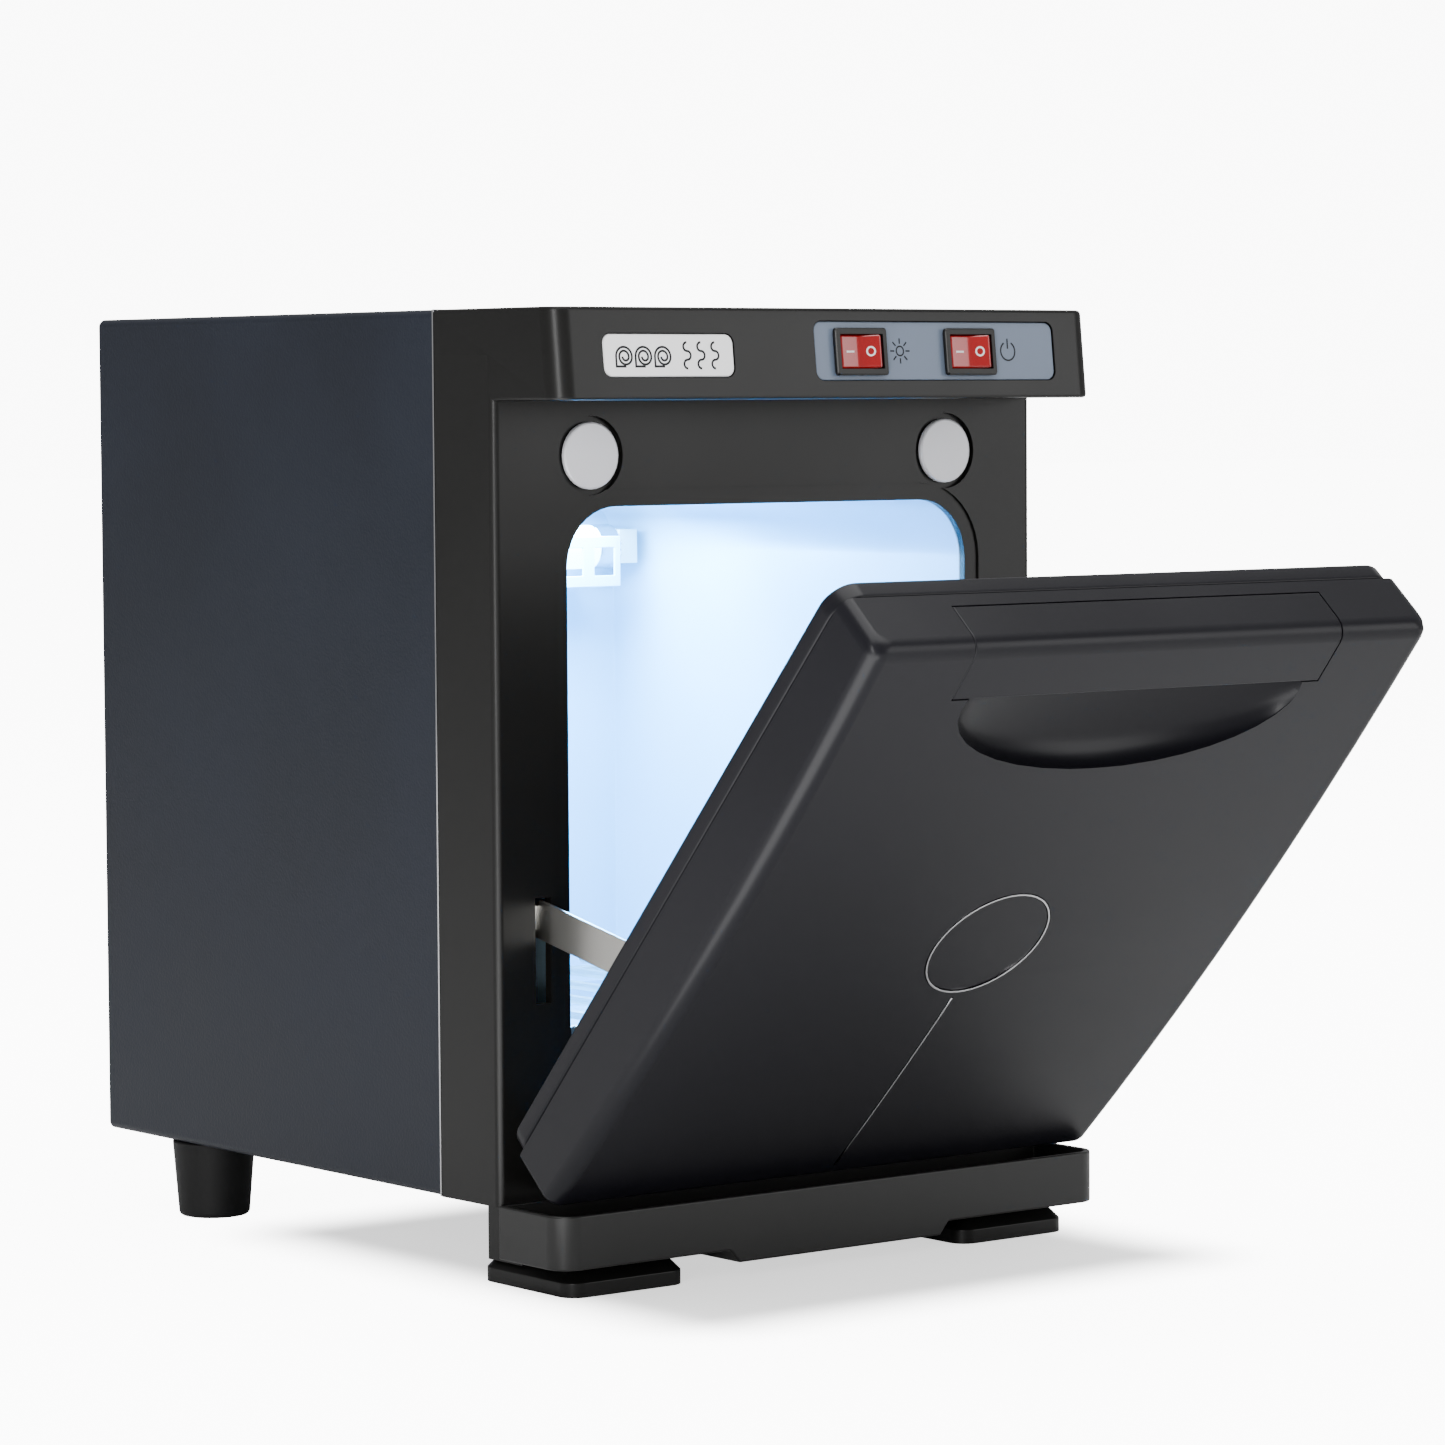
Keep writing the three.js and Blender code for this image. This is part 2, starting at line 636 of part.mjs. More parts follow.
function makeHeaterPieces() {
  const under = opening.bottom - chamber.sheet - seatGap;
  const below = under - heater.thickness - seatGap;
  const plate = block(
    about(0, opening.width - 2 * heater.inset),
    [heater.front, chamberBack - heater.fromBack],
    [under - heater.thickness, under],
  );
  const { x, y, radius, height, earSpan, earWidth, earThickness } = thermostat;
  const sensor = join(
    rod([x, y, below - height], [x, y, below], radius, 20),
    block(about(x, earSpan), about(y, earWidth), [below - earThickness, below]),
  );
  const fuseZ = below - fuse.radius - fuse.gap;
  const link = rod([fuse.left, y, fuseZ], [fuse.right, y, fuseZ], fuse.radius, 10);
  const mat = block(
    about(0, opening.width - 2 * baseMat.inset),
    [0, chamberBack - baseMat.fromBack],
    [baseMat.bottom, baseMat.bottom + baseMat.thickness],
  );
  return [
    piece("heater_plate", plate, zincSteel),
    piece("thermostat", sensor, whiteCeramic),
    piece("thermal_fuse", link, whiteCeramic),
    piece("insulation_base", mat, mineralWool),
  ];
}

function makeLampPieces() {
  const { radius, length, holder: size } = lamp;
  const [y, z] = [lampY, lampZ];
  const back = chamberBack - chamber.sheet - seatGap;
  const holder = ([name, side]) => {
    const end = side * (length / 2 + seatGap);
    const outer = end + side * size.width;
    const post = block([end, outer], [y - size.half, back], [z - size.half, z + size.half]);
    return piece(`lamp_holder_${name}`, post, whiteCeramic);
  };
  const tube = rod([-length / 2, y, z], [length / 2, y, z], radius, 20);
  return [piece("uv_lamp", tube, lampGlass), ...sides.map(holder), makeLampGuard(back)];
}

// Bent sheet in front of and below the lamp, open in a row of slots.
function makeLampGuard(back) {
  const { gap, sheet, rise, slots: count, slotShare, slotFloor, slotBack } = lampGuard;
  const front = lampY - lamp.radius - gap;
  const bottom = lampZ - lamp.radius - gap;
  const half = opening.width / 2 - opening.radius;
  const angle = polygon([
    [front, bottom],
    [back, bottom],
    [back, bottom + sheet],
    [front + sheet, bottom + sheet],
    [front + sheet, lampZ + rise],
    [front, lampZ + rise],
  ]);
  const bent = barFromSide(angle, -half, half);
  const pitch = (2 * half) / count;
  const slots = Array.from({ length: count }, (_, i) => {
    const x = -half + (i + 0.5) * pitch;
    const slotHalf = (pitch * slotShare) / 2;
    return block([x - slotHalf, x + slotHalf], [front - 1, back - slotBack], [bottom + slotFloor, lampZ]);
  });
  return piece("lamp_guard", cut(bent, ...slots), aluminium);
}

function makeChamberTray() {
  const { height, sheet, cornerRadius } = waterTray;
  const bottom = opening.bottom + seatGap;
  const half = trayHalfWidth;
  const plan = roundedRectangle(-half, half, trayFront, trayBack, cornerRadius);
  const pan = extrude(plan, bottom, bottom + height);
  const hollow = extrude(
    roundedRectangle(-half + sheet, half - sheet, trayFront + sheet, trayBack - sheet, cornerRadius - sheet),
    bottom + sheet,
    bottom + height + 1,
  );
  return piece("chamber_tray", cut(pan, hollow), aluminium);
}

// Wire shelf standing in the water tray: long bars on two cross bars with four bent feet.
function makeWireRack() {
  const { wire, inset, overhang, height, bars, feetInset, crossInset, crossDrop } = rack;
  const floor = opening.bottom + 2 * seatGap + waterTray.sheet;
  const top = floor + height;
  const front = trayFront - overhang;
  const back = trayBack + overhang;
  const half = opening.width / 2 - inset;
  const footHalf = trayHalfWidth - feetInset;
  const wires = [];
  for (let i = 0; i < bars; i++) {
    const x = -half + (2 * i * half) / (bars - 1);
    wires.push(rod([x, front, top], [x, back, top], wire, 8));
  }
  for (const y of [front + crossInset, back - crossInset]) {
    wires.push(rod([-half - wire, y, top - crossDrop], [half + wire, y, top - crossDrop], wire, 8));
    for (const [, side] of sides) {
      wires.push(rod([side * footHalf, y, floor], [side * footHalf, y, top - crossDrop], wire, 8));
    }
  }
  return piece("wire_rack", join(...wires), satinSteel);
}

// ---------------------------------------------------------------------------------------------------
// Electrical pieces above the chamber
// ---------------------------------------------------------------------------------------------------

function makeServicePieces() {
  const under = openingTop + topMat.lift;
  const mat = block(
    about(0, opening.width - 2 * topMat.inset),
    [topMat.front, chamberBack - topMat.fromBack],
    [under, under + topMat.thickness],
  );
  const shelfTop = openingTop + shelf.lift;
  const sheet = block(
    about(0, shell.width - 2 * shelf.fromSide),
    [shelf.front, shell.depth - shelf.fromBack],
    [shelfTop - shelf.sheet, shelfTop],
  );
  const on = shelfTop + seatGap;
  const core = block(about(ballast.x, ballast.width), about(ballast.y, ballast.depth), [on, on + ballast.height]);
  const ears = block(
    about(ballast.x, ballast.earSpan),
    about(ballast.y, ballast.earWidth),
    [on, on + ballast.earThickness],
  );
  const { x, y, width, depth, height, ways, pitch, bore, boreFloor } = terminals;
  const strip = block(about(x, width), about(y, depth), [on, on + height]);
  const pockets = Array.from({ length: ways }, (_, i) => {
    const way = x + (i - (ways - 1) / 2) * pitch;
    return rod([way, y, on + boreFloor], [way, y, on + height + 1], bore, 10);
  });
  return [
    piece("insulation_top", mat, mineralWool),
    piece("service_shelf", sheet, zincSteel),
    piece("ballast", join(core, ears), ferrite),
    piece("terminal_block", cut(strip, ...pockets), whiteCeramic),
  ];
}

// ---------------------------------------------------------------------------------------------------
// Feet and drip tray
// ---------------------------------------------------------------------------------------------------

function makeFrontFoot([name, side]) {
  const { fromSide, width, back, front, top, chamfer, radius, riser, riserInset } = frontFoot;
  const outer = shell.width / 2 - fromSide;
  const [left, right] = side < 0 ? [-outer, width - outer] : [outer - width, outer];
  const plan = roundedRectangle(left, right, front, back, radius);
  const eased = { edge: chamfer, edgeSegments: 1, curveSegments: 3 };
  const slab = extrude(plan, -footHeight - 2 * chamfer, top, eased);
  const ground = block([left - 5, right + 5], [front - 5, back + 5], [-footHeight - 20, -footHeight]);
  const post = block(
    [left + riserInset, right - riserInset],
    [faceY, faceY + riser],
    [top - chamfer / 2, -seatGap],
  );
  return piece(`front_foot_${name}`, join(cut(slab, ground), post), blackPlastic);
}

function makeRearFoot([name, side]) {
  const { fromSide, fromBack, topRadius, bottomRadius, bore, boreDepth } = rearFoot;
  const profile = [
    [0, boreDepth],
    [bore, boreDepth],
    [bore, 0],
    [bottomRadius - 1, 0],
    [bottomRadius, 1],
    [topRadius, footHeight - seatGap],
    [0, footHeight - seatGap],
  ];
  const cone = new THREE.LatheGeometry(profile.map(([r, z]) => new THREE.Vector2(r, z)), 28);
  cone.rotateX(Math.PI / 2);
  cone.translate(side * (shell.width / 2 - fromSide), shell.depth - fromBack, -footHeight);
  return piece(`rear_foot_${name}`, cone, blackRubber);
}

// Trough under the door: front outline and plan outline in common, hollowed from above.
function makeDripTray() {
  const { reach, top, bottom, lip, lipHalfWidth, lipSlant, cornerRadius, wall } = dripTray;
  const half = shell.width / 2;
  const back = faceY - seatGap;
  const front = (shrink, floor, roof) =>
    polygon([
      [-half + shrink, floor],
      [-lipHalfWidth - lipSlant + shrink, floor],
      [-lipHalfWidth + shrink, lip - bottom + floor],
      [lipHalfWidth - shrink, lip - bottom + floor],
      [lipHalfWidth + lipSlant - shrink, floor],
      [half - shrink, floor],
      [half - shrink, roof],
      [-half + shrink, roof],
    ]);
  const plan = (shrink) => {
    const outline = new THREE.Shape();
    const radius = cornerRadius - shrink;
    outline.moveTo(half - shrink, back - shrink);
    outline.lineTo(-half + shrink, back - shrink);
    outline.absarc(-half + shrink + radius, -reach + shrink + radius, radius, Math.PI, Math.PI * 1.5);
    outline.absarc(half - shrink - radius, -reach + shrink + radius, radius, -Math.PI / 2, 0);
    return outline;
  };
  const outside = common(
    plateFromFront(front(0, bottom, top), -reach - 1, back + 1),
    extrude(plan(0), lip - 1, top + 1),
  );
  const trough = common(
    plateFromFront(front(wall, bottom + wall, top + 2), -reach - 1, back + 1),
    extrude(plan(wall), lip - 1, top + 3),
  );
  return piece("drip_tray", cut(outside, trough), blackPlastic);
}

// ---------------------------------------------------------------------------------------------------
// Door. Drawn as seen from the front: x across, v up from its lower edge, n outwards from its inner face.
// ---------------------------------------------------------------------------------------------------

// Thickness of the whole door at height v.
function doorThickness(v) {
  const s = v / doorHeight;
  return door.bottom * (1 - s) + door.top * s + door.crown * (1 - (2 * s - 1) ** 2);
}

// Set-back of a rounded edge at a distance from it.
const roundSetback = (radius, distance) =>
  radius - Math.sqrt(Math.max(0, radius ** 2 - (radius - distance) ** 2));

// Heights at which the door's section is given: close together round the two edges, wide over the bow.
function doorStations() {
  const arcSteps = 4;
  const spans = 10;
  const round = Array.from({ length: arcSteps }, (_, i) => 1 - Math.cos((i * Math.PI) / 2 / arcSteps));
  const low = round.map((share) => share * door.bottomRadius);
  const high = round.map((share) => share * door.topRadius);
  const from = door.bottomRadius;
  const to = doorHeight - door.topRadius;
  const bow = Array.from({ length: spans + 1 }, (_, i) => from + ((to - from) * i) / spans);
  return [...low, ...bow, ...high.reverse().map((distance) => doorHeight - distance)];
}

// Door body from its back plane outwards: one section swept up the door and fitted to its thickness.
function doorBody(back) {
  const stations = doorStations();
  const half = shell.width / 2;
  const full = door.bottom;
  const section = new THREE.Shape();
  section.moveTo(-half, back);
  section.lineTo(half, back);
  section.absarc(half - door.sideRadius, full - door.sideRadius, door.sideRadius, 0, Math.PI / 2);
  section.absarc(-half + door.sideRadius, full - door.sideRadius, door.sideRadius, Math.PI / 2, Math.PI);
  const rows = stations.length - 1;
  const body = extrude(section, 0, rows, { steps: rows, curveSegments: 4 });
  const position = body.getAttribute("position");
  for (let i = 0; i < position.count; i++) {
    const v = stations[Math.round(position.getZ(i))];
    const edge = roundSetback(door.bottomRadius, Math.min(v, door.bottomRadius))
      + roundSetback(door.topRadius, Math.min(doorHeight - v, door.topRadius));
    const corner = roundSetback(door.cornerRadius, Math.min(v, doorHeight - v, door.cornerRadius));
    const thickness = doorThickness(v) - edge;
    const x = position.getX(i);
    const n = position.getY(i);
    position.setX(i, x - Math.sign(x) * corner);
    position.setY(i, back + ((n - back) * (thickness - back)) / (full - back));
    position.setZ(i, v);
  }
  // Section x, thickness and sweep become x, n and v.
  return body.applyMatrix4(basis([-1, 0, 0], [0, 0, 1], [0, 1, 0]));
}

// Wrap of the handle cover, drawn in side view (v, n); grow opens it for the seat in the shell.
function coverRegion(grow) {
  const { halfWidth, drop, fromInside, skin } = cover;
  const low = doorHeight - drop - grow;
  const high = doorHeight - skin - grow;
  const far = doorHeight + 20;
  const face = (v) => doorThickness(v) - skin - grow;
  const outline = polygon([
    [low, far],
    [low, face(low)],
    [high - door.topRadius / 2, face(high - door.topRadius / 2)],
    [high, face(high) - door.topRadius / 2],
    [high, fromInside - grow],
    [far, fromInside - grow],
    [far, far],
  ]);
  // Drawing v, n and depth become v, n and x.
  const wrap = extrude(outline, -halfWidth - grow, halfWidth + grow);
  return wrap.applyMatrix4(basis([0, 1, 0], [0, 0, 1], [1, 0, 0]));
}

// Finger scoop below the handle cover, undercutting it.
function scoopTool() {
  const { halfWidth, drop, depth, undercut } = scoop;
  const v = scoopHeight;
  const bowl = new THREE.SphereGeometry(1, 32, 18).scale(halfWidth, drop, depth);
  bowl.translate(0, v, doorThickness(v));
  return common(bowl, block([-halfWidth - 1, halfWidth + 1], [v - drop - 1, v + undercut], [0, 60]));
}

// Ring standing on the front face, or its groove when grown.
function ringTool(grow) {
  const { radius, width, proud, depth } = badge;
  const v = badgeHeight;
  const face = doorThickness(v);
  const inner = radius - width / 2 - grow;
  const outer = radius + width / 2 + grow;
  const [low, high] = grow ? [face - depth - grow, face + 5] : [face - depth, face + proud];
  const profile = [
    [inner, low],
    [outer, low],
    [outer, high],
    [inner, high],
    [inner, low],
  ];
  const ring = new THREE.LatheGeometry(
    profile.map(([r, y]) => new THREE.Vector2(r, y)),
    48,
  );
  return ring.rotateX(Math.PI / 2).translate(0, v, 0);
}

// Strip let into the front face below the ring, or its groove when grown.
function inlayTool(grow) {
  const { start, width, proud, depth } = inlay;
  const end = badgeHeight - badge.radius - badge.width - inlay.gap + grow;
  const from = start - grow;
  const count = 8;
  const heights = Array.from({ length: count + 1 }, (_, i) => from + ((end - from) * i) / count);
  const upper = heights.map((v) => [v, doorThickness(v) + (grow ? 5 : proud)]);
  const lower = heights.map((v) => [v, doorThickness(v) - depth - grow]).reverse();
  const half = width / 2 + grow;
  return extrude(polygon([...upper.reverse(), ...lower.reverse()]), -half, half).applyMatrix4(
    basis([0, 1, 0], [0, 0, 1], [1, 0, 0]),
  );
}

// Notches, bores and pockets that the outer shell and the inner panel share.
function hingeCuts(doorOrigin) {
  const { rise, pin, lug, lugTop } = hinge;
  const x = hingeX;
  const v = rise;
  const n = doorOrigin;
  const side = seatGap + pinGap;
  const under = rise - hinge.noseGap; // pin to the lug's underside
  const underV = v - under * Math.cos(door.openAngle) + seatGap;
  const underN = n + under * Math.sin(door.openAngle) + seatGap;
  return sides.flatMap(([, s]) => {
    const notch = about(s * x, lug + 2 * side);
    const bore = about(s * x, hinge.pinLength + 2 * seatGap);
    return [
      block(notch, [-5, v + lugTop + side], [-5, n]),
      block(notch, [-5, underV], [-5, underN]),
      rod([notch[0], v, n], [notch[1], v, n], lugTop + side, 24),
      rod([bore[0], v, n], [bore[1], v, n], pin + pinGap, 16),
    ];
  });
}


// Pocket behind the shell's front, or the mat that fills it when shrunk.
function foamBlock(shrink, from) {
  const half = shell.width / 2 - foamPocket.fromSide - shrink;
  const top = doorHeight - foamPocket.belowTop - shrink;
  const depth = door.panel + door.parting + foamPocket.depth - shrink;
  return block([-half, half], [foamPocket.bottom + shrink, top], [from, depth]);
}

function makeDoorShell() {
  const back = door.panel + door.parting;
  const pocket = foamBlock(0, back - 1);
  const tools = [coverRegion(seatGap), scoopTool(), ringTool(seatGap), inlayTool(seatGap), pocket];
  return piece("door_outer_shell", cut(doorBody(back), ...tools, ...hingeCuts(pinDepth)), doorPlastic);
}

function makeHandleCover() {
  return piece("handle_cover", common(doorBody(door.panel + door.parting), coverRegion(0)), doorPlastic);
}

function bracketPocket(side, grow) {
  const inner = stayX + stay.thickness / 2 + bracket.gap;
  const x = [side * (inner - grow), side * (inner + bracket.foot + grow)];
  const v = [stay.v - bracket.height / 2 - grow, stay.v + bracket.height / 2 + grow];
  return { x, v };
}

function gasketRing(grow) {
  const middle = gasket.inset;
  const half = gasket.width / 2 + grow;
  const low = grow ? -5 : -gasket.proud;
  const high = gasket.depth + (grow ? grow : 0);
  const outer = extrude(openingOutline(middle + half), low, high);
  const inner = extrude(openingOutline(middle - half), low - 1, high + 1);
  return cut(outer, inner).translate(0, -doorFootGap, 0);
}

function makeInnerPanel() {
  const half = shell.width / 2;
  const outline = roundedRectangle(-half, half, 0, doorHeight, door.panelRadius);
  const plate = extrude(outline, 0, door.panel, { edge: door.panelEdge });
  const v = strikeZ - doorFootGap;
  const tools = sides.flatMap(([, side]) => {
    const pocket = bracketPocket(side, seatGap);
    const at = (n) => [side * strikeX, v, n];
    return [
      rod(at(-1), at(magnet.shy + magnet.thickness + seatGap), magnet.radius + seatGap, 28),
      block(pocket.x, pocket.v, [-1, bracket.web + bracket.sink + seatGap]),
    ];
  });
  const panel = cut(plate, ...tools, gasketRing(seatGap), ...hingeCuts(pinDepth));
  return piece("door_inner_panel", panel, doorPlastic);
}

function makeMagnet([name, side]) {
  const v = strikeZ - doorFootGap;
  const at = (n) => [side * strikeX, v, n];
  const disc = rod(at(magnet.shy), at(magnet.shy + magnet.thickness), magnet.radius, 28);
  return piece(`door_magnet_${name}`, disc, ferrite);
}

function makeDoorFoam() {
  return piece("door_insulation", foamBlock(seatGap, door.panel + door.parting), mineralWool);
}

function makeStayBracket([name, side]) {
  const { web, webHeight, sink, beyondPivot } = bracket;
  const { x, v } = bracketPocket(side, 0);
  const [inner] = x;
  const foot = block(x, v, [sink, web + sink]);
  const ear = block(
    [inner, inner + side * web],
    [stay.v - webHeight / 2, stay.v + webHeight / 2],
    [-stay.offset - beyondPivot, web],
  );
  const at = (x) => [x, stay.v, -stay.offset];
  const hole = rod(at(inner - side), at(inner + side * (web + 1)), stay.rivet + pinGap, 16);
  return piece(`stay_bracket_${name}`, cut(join(foot, ear), hole), satinSteel);
}

function makeStayRivet([name, side]) {
  const { thickness, rivet, rivetHead, headThickness, v, offset } = stay;
  const inner = stayX - thickness / 2 - seatGap;
  const outer = stayX + thickness / 2 + bracket.gap + bracket.web + seatGap;
  const at = (from, to, radius, count) => rod([side * from, v, -offset], [side * to, v, -offset], radius, count);
  const shape = join(
    at(inner - headThickness, outer + headThickness, rivet, 16),
    at(inner - headThickness, inner, rivetHead, 16),
    at(outer, outer + headThickness, rivetHead, 16),
  );
  return piece(`stay_rivet_${name}`, shape, satinSteel);
}

function makeDoor() {
  const swing = new THREE.Group();
  swing.position.set(0, hingeY, hingeZ);
  swing.rotation.x = Math.PI / 2 + door.openAngle;
  const leaf = new THREE.Group();
  leaf.position.set(0, -hinge.rise, -pinDepth);
  swing.add(leaf);
  leaf.add(
    makeDoorShell(),
    makeInnerPanel(),
    makeHandleCover(),
    makeDoorFoam(),
    piece("door_gasket", gasketRing(0), blackRubber),
    piece("badge_ring", ringTool(0), brightMetal),
    piece("door_inlay", inlayTool(0), brightMetal),
    ...sides.map(makeMagnet),
    ...sides.map(makeStayBracket),
    ...sides.map(makeStayRivet),
  );
  return swing;
}

// Hinge pin, or the bore for it when grown.
function hingePinRod(side, grow) {
  const half = hinge.pinLength / 2;
  const at = (x) => [side * x, hingeY, hingeZ];
  return rod(at(hingeX - half), at(hingeX + half), hinge.pin + grow, 16);
}

function makeHingePin([name, side]) {
  return piece(`hinge_pin_${name}`, hingePinRod(side, 0), satinSteel);
}

// ---------------------------------------------------------------------------------------------------
// Stays: strips pivoted on the door, hooked behind the frame's face
// ---------------------------------------------------------------------------------------------------

// Where a stay's rivet is, in the cabinet frame, with the door open by an angle.
function stayPivot(angle) {
  const up = stay.v - hinge.rise;
  const out = -stay.offset - pinDepth;
  return {
    y: hingeY - up * Math.sin(angle) - out * Math.cos(angle),
    z: hingeZ + up * Math.cos(angle) - out * Math.sin(angle),
  };
}

function makeStay([name, side]) {
  const { thickness, width, slope, hook, hookHeight, rivet, cornerCut } = stay;
  const x = stayX;
  const pivot = stayPivot(door.openAngle);
  const behindFace = faceY + frame.wall + seatGap;
  const length = (behindFace - pivot.y) / Math.cos(slope) + (hookHeight / 2) * Math.tan(slope) + thickness;
  const half = width / 2;
  const strip = new THREE.Shape();
  strip.moveTo(length, -half + cornerCut);
  strip.lineTo(length, half - cornerCut);
  strip.lineTo(length - cornerCut, half);
  strip.absarc(0, 0, half, Math.PI / 2, Math.PI * 1.5);
  strip.lineTo(length - cornerCut, -half);
  const bar = barFromSide(strip, side * x - thickness / 2, side * x + thickness / 2, { curveSegments: 8 });
  const tab = block(
    [side * (x - thickness / 2), side * (x + hook)],
    [length - thickness, length],
    [-hookHeight / 2, hookHeight / 2],
  );
  const eye = rod([side * (x - 2), 0, 0], [side * (x + 2), 0, 0], rivet + pinGap, 16);
  const strap = piece(`stay_${name}`, cut(join(bar, tab), eye), satinSteel);
  strap.position.set(0, pivot.y, pivot.z);
  strap.rotation.x = slope;
  return strap;
}

// ---------------------------------------------------------------------------------------------------
// Assembly
// ---------------------------------------------------------------------------------------------------

function makeCabinet() {
  const body = new THREE.Group();
  body.add(
    makeOuterShell(),
    makeBasePlate(),
    makeRearPanel(),
    makeCordGland(),
    makeFrontFrame(),
    ...makeHoodPieces(),
    ...sides.map(([name, side]) => makeStrike(`strike_${name}`, side)),
    makeChamberLiner(),
    ...makeHeaterPieces(),
    ...makeLampPieces(),
    makeChamberTray(),
    makeWireRack(),
    ...makeServicePieces(),
    ...sides.map(makeFrontFoot),
    ...sides.map(makeRearFoot),
    makeDripTray(),
    ...sides.map(makeHingePin),
    ...sides.map(makeStay),
    makeDoor(),
  );
  body.position.z = footHeight;
  const assembly = new THREE.Group();
  assembly.add(body);
  assembly.updateMatrixWorld(true);
  const bounds = new THREE.Box3().setFromObject(assembly, true);
  body.position.y = -(bounds.min.y + bounds.max.y) / 2;
  return assembly;
}

export default makeCabinet();
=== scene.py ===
"""Hot towel cabinet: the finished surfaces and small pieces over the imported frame."""

import json
import logging
import math
from dataclasses import dataclass, field
from enum import Enum
from typing import ClassVar, Sequence

import bmesh
import bpy
from mathutils import Matrix, Vector


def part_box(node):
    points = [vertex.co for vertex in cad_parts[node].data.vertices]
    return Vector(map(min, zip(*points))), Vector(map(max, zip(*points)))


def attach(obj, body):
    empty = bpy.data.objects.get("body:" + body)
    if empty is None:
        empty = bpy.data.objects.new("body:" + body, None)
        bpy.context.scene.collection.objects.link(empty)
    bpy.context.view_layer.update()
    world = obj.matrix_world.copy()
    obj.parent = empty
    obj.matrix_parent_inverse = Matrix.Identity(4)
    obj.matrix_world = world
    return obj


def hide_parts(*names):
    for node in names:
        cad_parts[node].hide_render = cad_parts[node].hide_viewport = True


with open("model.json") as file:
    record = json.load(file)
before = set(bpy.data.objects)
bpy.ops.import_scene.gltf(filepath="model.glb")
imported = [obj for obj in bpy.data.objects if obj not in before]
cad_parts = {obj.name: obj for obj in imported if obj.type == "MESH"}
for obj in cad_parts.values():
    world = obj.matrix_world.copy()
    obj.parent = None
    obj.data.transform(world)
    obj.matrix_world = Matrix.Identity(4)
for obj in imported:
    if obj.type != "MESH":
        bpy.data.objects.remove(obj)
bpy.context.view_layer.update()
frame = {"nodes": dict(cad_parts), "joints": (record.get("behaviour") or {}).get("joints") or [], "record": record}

LOG = logging.getLogger("hot_towel_cabinet")
MM = 0.001
SIDES = (("left", -1.0), ("right", 1.0))
SHARP_EDGE = math.radians(35)  # edges turned further than this stay sharp
FLAT = math.radians(0.15)  # faces turned less than this are one face
WELD = 0.002 * MM


# --------------------------------------------------------------------------------------------------
# Finishes
# --------------------------------------------------------------------------------------------------


class Grain(Enum):
    """Kinds of fine relief that a surface can carry."""

    NONE = "none"
    FINE = "fine spark-eroded mould texture"
    ORANGE_PEEL = "cured powder coat"
    BRUSHED_X = "brushed along x"
    BRUSHED_Y = "brushed along y"
    FIBRE = "matted fibre"


